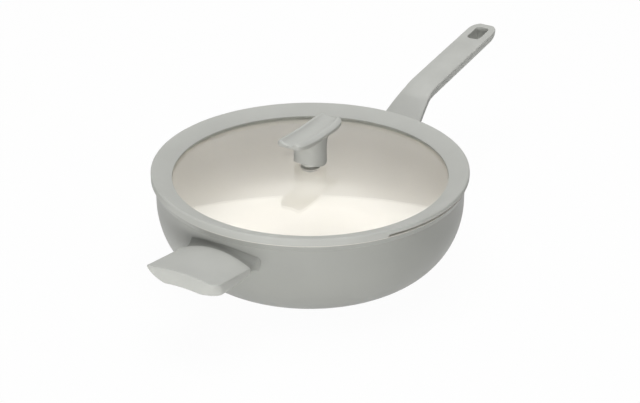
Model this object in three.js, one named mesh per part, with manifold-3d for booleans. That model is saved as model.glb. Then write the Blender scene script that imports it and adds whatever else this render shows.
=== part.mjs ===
// Wok with lid: a deep pan with a long handle, a short helper grip and a glass lid in a soft rim.
// Millimetres, +Z up. The origin is the middle of the base and +X runs along the long handle.
import * as THREE from 'three';
import { mergeVertices } from 'three/addons/utils/BufferGeometryUtils.js';
import Module from 'manifold-3d';

// Clearances
const SEAT = 0.3; // between pieces that rest on, or are pressed into, each other
const SKIRT_PLAY = 0.8; // between the lid's skirt and the pan's wall
const HOLE_PLAY = 0.6; // between a screw and a hole that it passes through
const SCREW_BEVEL = 0.5;

// Pan shell
const PAN_HEIGHT = 87;
const PAN_RADIUS = 142.3; // outside of the upright wall
const PAN_WALL = 3;
const PAN_FLOOR = 4.5;
const PAN_FLAT_RADIUS = 88.5; // where the base turns into the curved side
const PAN_CURVE_HEIGHT = 65; // where the curved side stands upright
const BEAD_DEPTH = 1.1; // the rim stands out from the wall
const BEAD_HEIGHT = 6.3;
const RIM_FLARE = 1.4; // its face leans out to its top
const RIM_ROUND = 1.3;

// Steel disc pressed into the base
const DISC_RADIUS = 72;
const DISC_THICKNESS = 1.2;

// Glass of the lid
const GLASS_THICKNESS = 4;
const GLASS_RISE = 10.5; // height of the dome from its edge to its middle
const GLASS_DROP = 2.8; // edge of the glass below the pan's rim seat
const GLASS_HOLE_RADIUS = 4.2;
const GLASS_BEVEL = 0.8;

// Soft rim of the lid
const LID_OVERHANG = 1.6; // the lid stands out past the pan's rim
const LID_BAND = 7.7; // height of the upright outer band
const LID_EDGE_ROUND = 1.6;
const LID_FOOT_BEVEL = 0.4;
const RIM_WALL = 4.2; // between the groove for the glass and the skirt
const LIP_COVER = 6.9; // the sloped top reaches in over the glass
const LIP_THICKNESS = 1.6;
const LIP_BEVEL = 0.5;
const LEDGE_COVER = 10.5; // the ledge reaches in under the glass
const LEDGE_THICKNESS = 2.2;
const NOTCH_HEIGHT = 2.4; // drain notch in the band's lower edge
const NOTCH_HALF_ANGLE = 31; // degrees to each side of -Y
const NOTCH_DEPTH = 2.2; // how far the notch bites into the skirt

// Knob
const BAR_LENGTH = 75;
const BAR_HALF_WIDTH = 14.8;
const BAR_DEPTH = 7.6;
const BAR_SADDLE = 2.4; // the ends rise above the middle
const BAR_TROUGH = 2.6; // hollow along the top, below its two crests
const BAR_HOLLOW = 3; // steepness of the hollow's sides: 2 is a parabola
const BAR_CREST = 0.625; // place of the crests as a share of the half width
const BAR_FALL = 2.5; // the bar's sides start this far below the crests
const BAR_OUTLINE = 5; // squareness of the bar's ends: 2 is an ellipse
const BAR_BELLY = 3; // squareness of its underside
const BAR_SHOULDER = 0.6;
const BAR_END_RISE = 1.9; // its underside rises at the ends
const KNOB_HEIGHT = 31; // foot of the stem to the middle of the bar's crests
const STEM_RADIUS = 15.4;
const STEM_FLARE = 10; // the stem widens into the bar
const STEM_NARROW = 1.6; // the stem narrows to the bar's width
const STEM_ARCH = 3.7; // the foot rises at the ends of the bar
const COLLAR_RADIUS = 8.5;
const COLLAR_HEIGHT = 2.2;
const KNOB_SCREW_RADIUS = 2.4;
const KNOB_SCREW_HEAD_RADIUS = 4.6;
const KNOB_SCREW_HEAD_HEIGHT = 2.6;
const INSERT_WALL = 1.7;
const INSERT_LENGTH = 12.5;
const INSERT_INSET = 1; // the insert starts above the stem's foot
const INSERT_SPARE = 1; // the screw ends short of the insert's end
const WASHER_RADIUS = 8;
const WASHER_THICKNESS = 1;
const GASKET_RADIUS = 9;
const GASKET_THICKNESS = 1.2;

// Long handle, measured on the line of its top edges
const HANDLE_NECK = 11.7; // bare bracket between the wall and the handle
const HANDLE_LENGTH = 204.5;
const HANDLE_ROOT_HEIGHT = 67;
const HANDLE_BEND_LENGTH = 64; // the handle swings up over this run
const HANDLE_BEND_RISE = 32.4;
const HANDLE_ROOT_SLOPE = 27.8; // degrees
const HANDLE_GRIP_SLOPE = 7.7; // degrees
const HANDLE_BEND_REACH = 21; // pull of both ends of the bend
const HANDLE_HALF_WIDTH = 15.4;
const HANDLE_ROOT_HALF_WIDTH = 23.6;
const HANDLE_FLARE = 51; // run over which the root narrows
const HANDLE_DEPTH = 16;
const HANDLE_ROOT_DEPTH = 25;
const HANDLE_CROWN = 2.6;
const HANDLE_CROWN_FADE = 40; // the crown flattens over this run before the hang hole
const HANDLE_SHOULDER = 1.2;
const HANDLE_BELLY = 2.2; // 2 is an ellipse, larger is squarer
const HANDLE_TIP_ROUND = 16;
const HANDLE_TIP_LEAST = 4; // half width and depth left at the very end
const HANG_HOLE_LENGTH = 27.5;
const HANG_HOLE_WIDTH = 14.5;
const HANG_HOLE_ROUND = 4.5;
const HANG_HOLE_END_WALL = 7.7;
const HANDLE_TONGUE_LENGTH = 32;
const HANDLE_TONGUE_HALF_WIDTH = 13;
const HANDLE_TONGUE_THICKNESS = 6; // square to its slope
const HANDLE_TONGUE_DROP = 10.5; // top edge line to the middle of the tongue, at the root
const HANDLE_TONGUE_SLOPE = 32; // degrees
const HANDLE_SCREW_INSET = 20; // root face to the screw
const HANDLE_SCREW_RADIUS = 2;
const HANDLE_SCREW_HEAD_RADIUS = 4.4;
const HANDLE_SCREW_HEAD_HEIGHT = 2.2;
const HANDLE_SCREW_FLOOR = 2; // handle left between washer and tongue
const HANDLE_WASHER_THICKNESS = 0.9;

// Helper grip opposite the long handle
const HELPER_NECK = 8.7;
const HELPER_LENGTH = 51.3;
const HELPER_HALF_WIDTH = 35.7;
const HELPER_RIDGE_HEIGHT = 75.5; // ridge of the crowned top, at the root
const HELPER_RISE = 1.1; // root to end
const HELPER_ROOT_THICKNESS = 15.5; // ridge to the edges of the sole
const HELPER_END_THICKNESS = 20;
const HELPER_ROOT_CROWN = 8.7;
const HELPER_END_CROWN = 3.6;
const HELPER_HOLLOW = 1; // the sole arches up in the middle
const HELPER_SHOULDER = 1;
const HELPER_LEAN = 6; // sides and end draw in by this much
const HELPER_LEAN_DEPTH = 17; // over this depth
const HELPER_LEAN_POWER = 1.6; // 1 is a straight lean, larger bulges more
const HELPER_NEAR_CORNER = 9; // rounding of the outer corner on the -Y side
const HELPER_FAR_CORNER = 2; // rounding of the outer corner on the +Y side
const HELPER_CORNER_GROWTH = 10; // both corners are rounder at the sole than at the top
const HELPER_EDGE_BEVEL = 0.8;
const HELPER_TONGUE_LENGTH = 34;
const HELPER_TONGUE_HALF_WIDTH = 18;
const HELPER_TONGUE_THICKNESS = 5.5;
const HELPER_TONGUE_DROP = 9.8; // ridge to the tongue's lower face
const HELPER_SCREW_INSET = 19; // root face to the screws
const HELPER_SCREW_SPACING = 22;
const HELPER_SCREW_RADIUS = 1.9;
const HELPER_SCREW_HEAD_RADIUS = 3.8;
const HELPER_SCREW_HEAD_HEIGHT = 2;
const HELPER_SCREW_FLOOR = 1.6; // grip left between head and tongue

// Cast brackets on the wall
const BRACKET_INSET = 1.3; // a bracket's end lies inside its grip's outline
const BRACKET_FLARE = 3; // a bracket widens towards the wall
const BRACKET_SHOULDER = 6; // rounding of its upper corners at the wall
const BRACKET_LIFT = 3; // its top rises towards the wall, and is flatter there
const HANDLE_BRACKET_HEEL = 10; // its underside falls towards the wall
const HELPER_BRACKET_HEEL = 5;
const BRACKET_BITE = 12; // how far its blank reaches past the wall before trimming

// Fineness of the facets
const ROUND_STEPS = 56;
const SMALL_STEPS = 20;
const CURVE_STEPS = 8;
const DOME_STEPS = 5;
const GROOVE_STEPS = 2;
const EDGE_STEPS = 3;
const TOP_STEPS = 8;
const SHOULDER_STEPS = 2;
const BELLY_STEPS = 12;
const LEAN_STEPS = 4;
const SOLE_STEPS = 4;
const BEND_STEPS = 9;
const GRIP_STEPS = 4;
const TIP_STEPS = 6;
const MERGE_DISTANCE = 1e-4;
const THROUGH = 60; // length of a cutting tool that runs right through

// Heights and places that follow from the sizes above
const radians = THREE.MathUtils.degToRad;
const lidSeat = PAN_HEIGHT + SEAT;
const lidTop = lidSeat + LID_BAND;
const glassEdge = lidSeat - GLASS_DROP;
const glassCrown = glassEdge + GLASS_RISE;
const rimRadius = PAN_RADIUS + BEAD_DEPTH + RIM_FLARE;
const lidRadius = rimRadius + LID_OVERHANG;
const skirtRadius = PAN_RADIUS - PAN_WALL - SKIRT_PLAY;
const glassRadius = skirtRadius - RIM_WALL - SEAT;
const collarFoot = glassCrown + SEAT;
const stemFoot = collarFoot + COLLAR_HEIGHT + SEAT;
const barEdge = stemFoot + KNOB_HEIGHT;
const insertBore = KNOB_SCREW_RADIUS + SEAT;
const insertFoot = stemFoot + INSERT_INSET;
const handleRoot = PAN_RADIUS + HANDLE_NECK;
const handleTip = handleRoot + HANDLE_LENGTH;
const helperRoot = PAN_RADIUS + HELPER_NECK;

const wasm = await Module();
wasm.setup();

// Reads a skin's corner as a vector.
function corner(position, index) {
  return new THREE.Vector3().fromBufferAttribute(position, index);
}

// Shares the corners of a geometry, drops its empty facets and turns its facets outwards.
function closedSkin(geometry) {
  const bare = geometry.clone();
  bare.deleteAttribute('normal');
  bare.deleteAttribute('uv');
  const merged = mergeVertices(bare, MERGE_DISTANCE);
  const position = merged.getAttribute('position');
  const facets = [];
  let volume = 0;
  for (let i = 0; i < merged.index.count; i += 3) {
    const facet = [0, 1, 2].map((step) => merged.index.getX(i + step));
    if (new Set(facet).size < facet.length) continue;
    const [a, b, c] = facet.map((index) => corner(position, index));
    volume += a.dot(b.cross(c));
    facets.push(facet);
  }
  const outward = facets.map(([a, b, c]) => (volume < 0 ? [a, c, b] : [a, b, c]));
  const skin = new THREE.BufferGeometry();
  skin.setAttribute('position', position);
  skin.setIndex(outward.flat());
  return skin;
}

// Hands a skin to the boolean library.
function toSolid(geometry) {
  const skin = closedSkin(geometry);
  const vertProperties = new Float32Array(skin.getAttribute('position').array);
  const triVerts = new Uint32Array(skin.index.array);
  return new wasm.Manifold(new wasm.Mesh({ numProp: 3, vertProperties, triVerts }));
}

// Takes a skin back from the boolean library.
function toSkin(solid) {
  const mesh = solid.getMesh();
  const skin = new THREE.BufferGeometry();
  skin.setAttribute('position', new THREE.BufferAttribute(mesh.vertProperties, mesh.numProp));
  skin.setIndex(new THREE.BufferAttribute(mesh.triVerts, 1));
  return skin;
}

function cut(blank, ...tools) {
  return toSkin(tools.reduce((solid, tool) => solid.subtract(toSolid(tool)), toSolid(blank)));
}

function join(first, ...others) {
  return toSkin(others.reduce((solid, other) => solid.add(toSolid(other)), toSolid(first)));
}

// Turns a profile of [radius, height] points about the Z axis.
function revolve(profile, steps = ROUND_STEPS) {
  const points = profile.map(([radius, height]) => new THREE.Vector2(radius, height));
  return closedSkin(new THREE.LatheGeometry(points, steps).rotateX(Math.PI / 2));
}

// Turns a ring's section: its last point meets its first.
function revolveRing(profile, steps = ROUND_STEPS) {
  return revolve([...profile, profile[0]], steps);
}

// A plain disc with a hole, standing on the given height.
function washer(bore, radius, foot, thickness) {
  const head = foot + thickness;
  return revolveRing([[bore, foot], [radius, foot], [radius, head], [bore, head]], SMALL_STEPS);
}

// A screw along Z: a bevelled head from foot upwards, then the shank to the tip.
function screw(foot, headRadius, headHeight, radius, tip) {
  const profile = [
    [0, foot],
    [headRadius - SCREW_BEVEL, foot],
    [headRadius, foot + SCREW_BEVEL],
    [headRadius, foot + headHeight],
    [radius, foot + headHeight],
    [radius, tip - SCREW_BEVEL],
    [radius - SCREW_BEVEL, tip],
    [0, tip],
  ];
  return revolve(profile, SMALL_STEPS);
}

// A straight round cutting tool along Z.
function drill(radius, foot, head) {
  return revolve([[0, foot], [radius, foot], [radius, head], [0, head]], SMALL_STEPS);
}

// Points of a quarter ellipse from its level end to its upright end, both included.
function quarterCurve(flatRadius, flatHeight, wallRadius, wallHeight, steps) {
  const points = [];
  for (let i = 0; i <= steps; i++) {
    const turn = (i / steps) * (Math.PI / 2);
    const radius = flatRadius + (wallRadius - flatRadius) * Math.sin(turn);
    points.push([radius, wallHeight - (wallHeight - flatHeight) * Math.cos(turn)]);
  }
  return points;
}

// Points of a rounding of 90 degrees about a middle, from one angle to the next.
function rounding(radius, height, round, fromAngle, steps) {
  const points = [];
  for (let i = 0; i <= steps; i++) {
    const angle = radians(fromAngle) + (i / steps) * (Math.PI / 2);
    points.push([radius + round * Math.cos(angle), height + round * Math.sin(angle)]);
  }
  return points;
}

// Skins a row of rings of equal count and closes both ends.
function loft(rings) {
  const count = rings[0].length;
  const points = rings.flat();
  const index = [];
  for (let i = 0; i + 1 < rings.length; i++) {
    for (let j = 0; j < count; j++) {
      const a = i * count + j;
      const b = i * count + ((j + 1) % count);
      index.push(a, b, b + count, a, b + count, a + count);
    }
  }
  const ends = [[0, 1, 0], [(rings.length - 1) * count, 0, 1]];
  for (const [start, first, second] of ends) {
    const middle = new THREE.Vector3();
    points.slice(start, start + count).forEach((point) => middle.addScaledVector(point, 1 / count));
    points.push(middle);
    for (let j = 0; j < count; j++) {
      const pair = [start + j, start + ((j + 1) % count)];
      index.push(pair[first], pair[second], points.length - 1);
    }
  }
  const skin = new THREE.BufferGeometry().setFromPoints(points);
  skin.setIndex(index);
  return closedSkin(skin);
}

// Rounds a sine or cosine towards a box: the power is 2 for an ellipse and larger for squarer forms.
function squared(value, power) {
  return Math.sign(value) * Math.abs(value) ** (2 / power);
}

// Underside of a slice as a squared ellipse, from its high side to its low side.
function ovalUnder({ low, high, top, bottom, shoulder, belly }) {
  const points = [];
  for (let i = 0; i <= BELLY_STEPS; i++) {
    const turn = (i / BELLY_STEPS) * Math.PI;
    const across = squared(Math.cos(turn), belly);
    const y = (high + low + (high - low) * across) / 2;
    const side = (top(high) * (1 + across) + top(low) * (1 - across)) / 2 - shoulder;
    points.push([y, side - (side - bottom(y, across)) * squared(Math.sin(turn), belly)]);
  }
  return points;
}

// Underside of a slice whose sides lean in more and more on their way down to a sole.
function leaningUnder({ low, high, top, bottom, shoulder, lean }) {
  const flank = (side, across) => {
    const head = top(side) - shoulder;
    const points = [];
    for (let i = 0; i <= LEAN_STEPS; i++) {
      const down = ((head - bottom(side, across)) * i) / LEAN_STEPS;
      points.push([side - across * lean(across, down), head - down]);
    }
    return points;
  };
  const first = flank(high, 1);
  const last = flank(low, -1).reverse();
  const sole = [];
  for (let i = 1; i < SOLE_STEPS; i++) {
    const y = THREE.MathUtils.lerp(first.at(-1)[0], last[0][0], i / SOLE_STEPS);
    sole.push([y, bottom(y, 1 - (2 * i) / SOLE_STEPS)]);
  }
  return [...first, ...sole, ...last];
}

// One slice across a grip, at x, between the sides low and high: a top given as heights over y, rounded
// shoulders and an underside, whose bottom is given over y and over the share from side to side.
function gripSlice(x, shape) {
  const { low, high, top, shoulder, under, steps = TOP_STEPS } = shape;
  const slice = [];
  const add = (y, z) => slice.push(new THREE.Vector3(x, y, z));
  const round = (side, inward) => {
    const y = side + inward * shoulder;
    const fall = top(y) - top(side) + shoulder;
    for (let i = 1; i < SHOULDER_STEPS; i++) {
      const turn = ((inward < 0 ? i : SHOULDER_STEPS - i) / SHOULDER_STEPS) * (Math.PI / 2);
      add(y - inward * shoulder * Math.sin(turn), top(side) - shoulder + fall * Math.cos(turn));
    }
  };
  for (let i = 0; i <= steps; i++) {
    const y = low + shoulder + ((high - low - 2 * shoulder) * i) / steps;
    add(y, top(y));
  }
  round(high, -1);
  under(shape).forEach(([y, z]) => add(y, z));
  round(low, 1);
  return slice;
}

// A flat bar along X between two upright faces, its middle line rising from one height to the next.
function tongue(fromX, fromZ, toX, toZ, halfWidth, thickness) {
  const face = (x, z) => [[-1, -1], [1, -1], [1, 1], [-1, 1]].map(
    ([side, up]) => new THREE.Vector3(x, side * halfWidth, z + (up * thickness) / 2),
  );
  return loft([face(fromX, fromZ), face(toX, toZ)]);
}

// Pan shell: flat base with a recess for the steel disc, curved side, upright wall and beaded rim.
function outerWall(offset) {
  const curve = quarterCurve(PAN_FLAT_RADIUS, -offset, PAN_RADIUS + offset, PAN_CURVE_HEIGHT, CURVE_STEPS);
  return [...curve, [PAN_RADIUS + offset, PAN_HEIGHT - BEAD_HEIGHT - offset]];
}

function wokBody() {
  const recess = DISC_THICKNESS + SEAT;
  const recessRadius = DISC_RADIUS + SEAT;
  const beadRadius = PAN_RADIUS + BEAD_DEPTH;
  const innerRadius = PAN_RADIUS - PAN_WALL;
  const roundHeight = PAN_HEIGHT - RIM_ROUND;
  const inside = quarterCurve(PAN_FLAT_RADIUS, PAN_FLOOR, innerRadius, PAN_CURVE_HEIGHT, CURVE_STEPS);
  return revolve([
    [0, recess],
    [recessRadius, recess],
    [recessRadius, 0],
    ...outerWall(0),
    [beadRadius, PAN_HEIGHT - BEAD_HEIGHT + BEAD_DEPTH],
    ...rounding(rimRadius - RIM_ROUND, roundHeight, RIM_ROUND, 0, SHOULDER_STEPS),
    ...rounding(innerRadius + RIM_ROUND, roundHeight, RIM_ROUND, 90, SHOULDER_STEPS),
    ...inside.reverse(),
    [0, PAN_FLOOR],
  ]);
}

function baseDisc() {
  return revolve([[0, 0], [DISC_RADIUS, 0], [DISC_RADIUS, DISC_THICKNESS], [0, DISC_THICKNESS]]);
}

// Height of the glass dome's upper face at a radius: part of a ball.
function glassTop(radius) {
  const ball = (glassRadius ** 2 + GLASS_RISE ** 2) / (2 * GLASS_RISE);
  return glassCrown - ball + Math.sqrt(ball ** 2 - radius ** 2);
}

// Points along the dome between two radii, moved up by the offset.
function domePoints(fromRadius, toRadius, offset, steps) {
  const points = [];
  for (let i = 0; i <= steps; i++) {
    const radius = fromRadius + ((toRadius - fromRadius) * i) / steps;
    points.push([radius, glassTop(radius) + offset]);
  }
  return points;
}

function lidGlass() {
  const bevelled = glassRadius - GLASS_BEVEL;
  const edge = glassTop(glassRadius);
  return revolveRing([
    ...domePoints(GLASS_HOLE_RADIUS, bevelled, 0, DOME_STEPS),
    [glassRadius, edge - GLASS_BEVEL],
    [glassRadius, edge - GLASS_THICKNESS + GLASS_BEVEL],
    ...domePoints(bevelled, GLASS_HOLE_RADIUS, -GLASS_THICKNESS, DOME_STEPS),
  ]);
}

// Soft rim: a ledge and a lip hold the glass in a groove, the top slopes up to the outer band,
// the band rests on the pan's rim and the skirt keeps the lid centred in the pan.
function lidRim() {
  const groove = glassRadius + SEAT;
  const lipRadius = glassRadius - LIP_COVER;
  const ledgeRadius = glassRadius - LEDGE_COVER;
  const lipTop = glassTop(lipRadius) + SEAT + LIP_THICKNESS;
  const under = -GLASS_THICKNESS - SEAT;
  const ledgeFoot = glassTop(glassRadius) + under - LEDGE_THICKNESS;
  const edgeHeight = lidTop - LID_EDGE_ROUND;
  const edge = rounding(lidRadius - LID_EDGE_ROUND, edgeHeight, LID_EDGE_ROUND, 0, EDGE_STEPS);
  const ring = revolveRing([
    ...domePoints(ledgeRadius, groove, under, GROOVE_STEPS),
    ...domePoints(groove, lipRadius, SEAT, GROOVE_STEPS),
    [lipRadius, lipTop - LIP_BEVEL],
    [lipRadius + LIP_BEVEL, lipTop],
    ...edge.reverse(),
    [lidRadius, lidSeat + LID_FOOT_BEVEL],
    [lidRadius - LID_FOOT_BEVEL, lidSeat],
    [skirtRadius, lidSeat],
    [skirtRadius, ledgeFoot + LID_FOOT_BEVEL],
    [skirtRadius - LID_FOOT_BEVEL, ledgeFoot],
    [ledgeRadius, ledgeFoot],
  ]);
  return cut(ring, drainNotch(ledgeFoot));
}

// Sector of a ring that opens the band's lower edge and the skirt below it, on the -Y side.
function drainNotch(ledgeFoot) {
  const start = radians(-90 - NOTCH_HALF_ANGLE);
  const end = radians(-90 + NOTCH_HALF_ANGLE);
  const foot = ledgeFoot - SEAT;
  const sector = new THREE.Shape();
  sector.absarc(0, 0, lidRadius + LID_BAND, start, end, false);
  sector.absarc(0, 0, skirtRadius - NOTCH_DEPTH, end, start, true);
  const depth = lidSeat + NOTCH_HEIGHT - foot;
  const settings = { depth, bevelEnabled: false, curveSegments: SMALL_STEPS };
  return new THREE.ExtrudeGeometry(sector, settings).translate(0, 0, foot);
}

// Knob: a saddle-shaped bar with a hollowed top on a round stem that flares into it. A flat boss inside
// the stem's arched foot stands on the collar.
function knobGrip() {
  const bar = [];
  for (let i = 0; i <= 2 * TIP_STEPS; i++) {
    bar.push(barSlice(-Math.cos((i / (2 * TIP_STEPS)) * Math.PI)));
  }
  const stem = [];
  for (let i = 0; i <= CURVE_STEPS; i++) {
    const up = i / CURVE_STEPS;
    const height = stemFoot + up * (KNOB_HEIGHT - BAR_DEPTH / 2);
    stem.push(stemSlice(height, {
      halfLong: STEM_RADIUS + STEM_FLARE * up ** 3,
      halfWide: STEM_RADIUS - STEM_NARROW * up,
      arch: STEM_ARCH * (1 - up),
    }));
  }
  const boss = drill(COLLAR_RADIUS, stemFoot, stemFoot + 2 * STEM_ARCH);
  const bore = drill(insertBore + INSERT_WALL + SEAT, stemFoot - SEAT, insertFoot + INSERT_LENGTH + SEAT);
  return cut(join(loft(bar), loft(stem), boss), bore);
}

// Slice of the bar from -1 at one end to 1 at the other: a hollow between two crests, which fall
// off to the sides. The ends are drawn in to a rounded outline.
function barSlice(along) {
  const narrow = Math.max(0, 1 - Math.abs(along) ** BAR_OUTLINE) ** (1 / BAR_OUTLINE);
  const half = BAR_FALL + (BAR_HALF_WIDTH - BAR_FALL) * narrow;
  const crest = barEdge + BAR_SADDLE * along ** 2;
  const top = (y) => {
    const across = Math.abs(y) / half;
    if (across < BAR_CREST) {
      return crest - BAR_TROUGH * narrow * (1 - (across / BAR_CREST) ** BAR_HOLLOW);
    }
    return crest - BAR_FALL * ((across - BAR_CREST) / (1 - BAR_CREST)) ** 2;
  };
  const foot = crest - BAR_DEPTH + BAR_END_RISE * (1 - narrow);
  return gripSlice((BAR_LENGTH / 2) * along, {
    low: -half,
    high: half,
    top,
    bottom: () => foot,
    shoulder: BAR_SHOULDER,
    under: ovalUnder,
    belly: BAR_BELLY,
    steps: 2 * TOP_STEPS,
  });
}

// One level slice of the stem, raised by the arch towards the ends of the bar.
function stemSlice(height, { halfLong, halfWide, arch }) {
  const slice = [];
  for (let i = 0; i < SMALL_STEPS; i++) {
    const turn = (i / SMALL_STEPS) * 2 * Math.PI;
    const x = halfLong * Math.cos(turn);
    slice.push(new THREE.Vector3(x, halfWide * Math.sin(turn), height + arch * Math.cos(turn) ** 2));
  }
  return slice;
}

// The screw comes up from under the glass through gasket, washer, glass and collar into the insert.
const gasketFoot = glassCrown - GLASS_THICKNESS - SEAT - GASKET_THICKNESS;
const washerFoot = gasketFoot - SEAT - WASHER_THICKNESS;
const knobScrewFoot = washerFoot - SEAT - KNOB_SCREW_HEAD_HEIGHT;
const knobScrewHole = KNOB_SCREW_RADIUS + HOLE_PLAY;

function knobInsert() {
  return washer(insertBore, insertBore + INSERT_WALL, insertFoot, INSERT_LENGTH);
}

function knobScrew() {
  const tip = insertFoot + INSERT_LENGTH - INSERT_SPARE;
  return screw(knobScrewFoot, KNOB_SCREW_HEAD_RADIUS, KNOB_SCREW_HEAD_HEIGHT, KNOB_SCREW_RADIUS, tip);
}

// Line of the long handle's top edges: an S-bend up from the bracket, then a straight grip.
const gripRise = Math.tan(radians(HANDLE_GRIP_SLOPE));
const handleBend = new THREE.CubicBezierCurve(
  new THREE.Vector2(handleRoot, HANDLE_ROOT_HEIGHT),
  new THREE.Vector2(
    handleRoot + HANDLE_BEND_REACH * Math.cos(radians(HANDLE_ROOT_SLOPE)),
    HANDLE_ROOT_HEIGHT + HANDLE_BEND_REACH * Math.sin(radians(HANDLE_ROOT_SLOPE)),
  ),
  new THREE.Vector2(
    handleRoot + HANDLE_BEND_LENGTH - HANDLE_BEND_REACH,
    HANDLE_ROOT_HEIGHT + HANDLE_BEND_RISE - HANDLE_BEND_REACH * gripRise,
  ),
  new THREE.Vector2(handleRoot + HANDLE_BEND_LENGTH, HANDLE_ROOT_HEIGHT + HANDLE_BEND_RISE),
);

// Points [x, height] along that line, with closer steps in the bend and at the rounded tip.
function handleLine() {
  const bendEnd = handleBend.v3;
  const tipStart = handleTip - HANDLE_TIP_ROUND;
  const line = handleBend.getPoints(BEND_STEPS);
  const straight = (x) => new THREE.Vector2(x, bendEnd.y + (x - bendEnd.x) * gripRise);
  for (let i = 1; i <= GRIP_STEPS; i++) {
    line.push(straight(bendEnd.x + ((tipStart - bendEnd.x) * i) / GRIP_STEPS));
  }
  for (let i = 1; i <= TIP_STEPS; i++) {
    line.push(straight(tipStart + HANDLE_TIP_ROUND * Math.sin((i / TIP_STEPS) * (Math.PI / 2))));
  }
  return line;
}

// The handle's slice at a point of its line: wide and deep at the root, drawn in at the tip.
function handleSlice({ x, y: edge }) {
  const flare = Math.max(0, 1 - (x - handleRoot) / HANDLE_FLARE);
  const tip = Math.max(0, 1 - (handleTip - x) / HANDLE_TIP_ROUND);
  const draw = Math.sqrt(Math.max(0, 1 - tip ** 2));
  const half = HANDLE_HALF_WIDTH + (HANDLE_ROOT_HALF_WIDTH - HANDLE_HALF_WIDTH) * flare;
  const depth = HANDLE_DEPTH + (HANDLE_ROOT_DEPTH - HANDLE_DEPTH) * flare;
  const least = HANDLE_TIP_LEAST;
  const side = least + (half - least) * draw;
  const holeStart = handleTip - HANG_HOLE_END_WALL - HANG_HOLE_LENGTH;
  const fade = THREE.MathUtils.smoothstep(holeStart - x, 0, HANDLE_CROWN_FADE);
  const foot = edge - least - ((depth - least) * (1 + draw)) / 2;
  return {
    low: -side,
    high: side,
    top: (y) => edge + HANDLE_CROWN * fade * (1 - (y / side) ** 2),
    bottom: () => foot,
    shoulder: HANDLE_SHOULDER,
    under: ovalUnder,
    belly: HANDLE_BELLY,
  };
}

// The bracket's tongue in the handle, and the socket for it with some play.
const tongueSlope = radians(HANDLE_TONGUE_SLOPE);
const tongueRoot = HANDLE_ROOT_HEIGHT - HANDLE_TONGUE_DROP;

function handleTongue(play) {
  const back = HANDLE_NECK / 2;
  const reach = HANDLE_TONGUE_LENGTH + play;
  return tongue(
    handleRoot - back, tongueRoot - back * Math.tan(tongueSlope),
    handleRoot + reach, tongueRoot + reach * Math.tan(tongueSlope),
    HANDLE_TONGUE_HALF_WIDTH + play, (HANDLE_TONGUE_THICKNESS + 2 * play) / Math.cos(tongueSlope),
  );
}

// The handle's screw stands square to the tongue. Heights are measured from the tongue's middle.
const handleScrewSeat = -HANDLE_TONGUE_THICKNESS / 2 - SEAT - HANDLE_SCREW_FLOOR;
const handleWasherFoot = handleScrewSeat - SEAT - HANDLE_WASHER_THICKNESS;
const handleScrewFoot = handleWasherFoot - SEAT - HANDLE_SCREW_HEAD_HEIGHT;

function ontoTongue(geometry) {
  const z = tongueRoot + HANDLE_SCREW_INSET * Math.tan(tongueSlope);
  return geometry.rotateY(-tongueSlope).translate(handleRoot + HANDLE_SCREW_INSET, 0, z);
}

function longHandle() {
  const blank = loft(handleLine().map((point) => gripSlice(point.x, handleSlice(point))));
  const well = drill(HANDLE_SCREW_HEAD_RADIUS + HOLE_PLAY, handleScrewFoot - THROUGH, handleScrewSeat);
  const bore = drill(HANDLE_SCREW_RADIUS + HOLE_PLAY, handleScrewFoot, 0);
  return cut(blank, handleTongue(SEAT), hangHole(), ontoTongue(well), ontoTongue(bore));
}

// Rounded slot through the handle's end, square to the grip.
function hangHole() {
  const long = HANG_HOLE_LENGTH / 2;
  const wide = HANG_HOLE_WIDTH / 2;
  const round = HANG_HOLE_ROUND;
  const outline = new THREE.Shape();
  outline.absarc(long - round, wide - round, round, 0, Math.PI / 2);
  outline.absarc(round - long, wide - round, round, Math.PI / 2, Math.PI);
  outline.absarc(round - long, round - wide, round, Math.PI, 1.5 * Math.PI);
  outline.absarc(long - round, round - wide, round, 1.5 * Math.PI, 2 * Math.PI);
  const settings = { depth: THROUGH, bevelEnabled: false, curveSegments: TIP_STEPS };
  const x = handleTip - HANG_HOLE_END_WALL - long;
  const z = handleBend.v3.y + (x - handleBend.v3.x) * gripRise;
  return new THREE.ExtrudeGeometry(outline, settings)
    .translate(0, 0, -THROUGH / 2)
    .rotateY(-radians(HANDLE_GRIP_SLOPE))
    .translate(x, 0, z);
}

// The part of the pan and lid that a bracket is trimmed to, with the gap of a seat.
function wallTrim() {
  const clear = lidRadius + SEAT;
  const overLid = PAN_HEIGHT + THROUGH;
  const overWall = [[clear, PAN_HEIGHT - BEAD_HEIGHT - SEAT], [clear, overLid], [0, overLid]];
  return revolve([[0, -SEAT], ...outerWall(SEAT), ...overWall]);
}

// Cast neck between the wall and the root of a grip, from the slice at that root. It runs along +X
// or -X, and is larger at the wall than at the grip.
function bracketNeck(direction, root, slice, heel) {
  const end = {
    ...slice,
    low: slice.low + BRACKET_INSET,
    high: slice.high - BRACKET_INSET,
    top: (y) => slice.top(y) - BRACKET_INSET,
    bottom: (y, across) => slice.bottom(y, across) + BRACKET_INSET,
  };
  const wall = {
    ...end,
    low: slice.low - BRACKET_FLARE,
    high: slice.high + BRACKET_FLARE,
    top: (y) => (slice.top(y) + slice.top(0)) / 2 + BRACKET_LIFT,
    bottom: (y, across) => slice.bottom(y, across) - heel,
    shoulder: BRACKET_SHOULDER,
  };
  const inner = direction * (PAN_RADIUS - BRACKET_BITE);
  return loft([gripSlice(inner, wall), gripSlice(direction * (root - SEAT), end)]);
}

function handleBracket() {
  const neck = bracketNeck(1, handleRoot, handleSlice(handleBend.v0), HANDLE_BRACKET_HEEL);
  const hole = drill(HANDLE_SCREW_RADIUS + SEAT, handleScrewFoot, THROUGH);
  return cut(join(neck, handleTongue(0)), wallTrim(), ontoTongue(hole));
}

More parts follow.
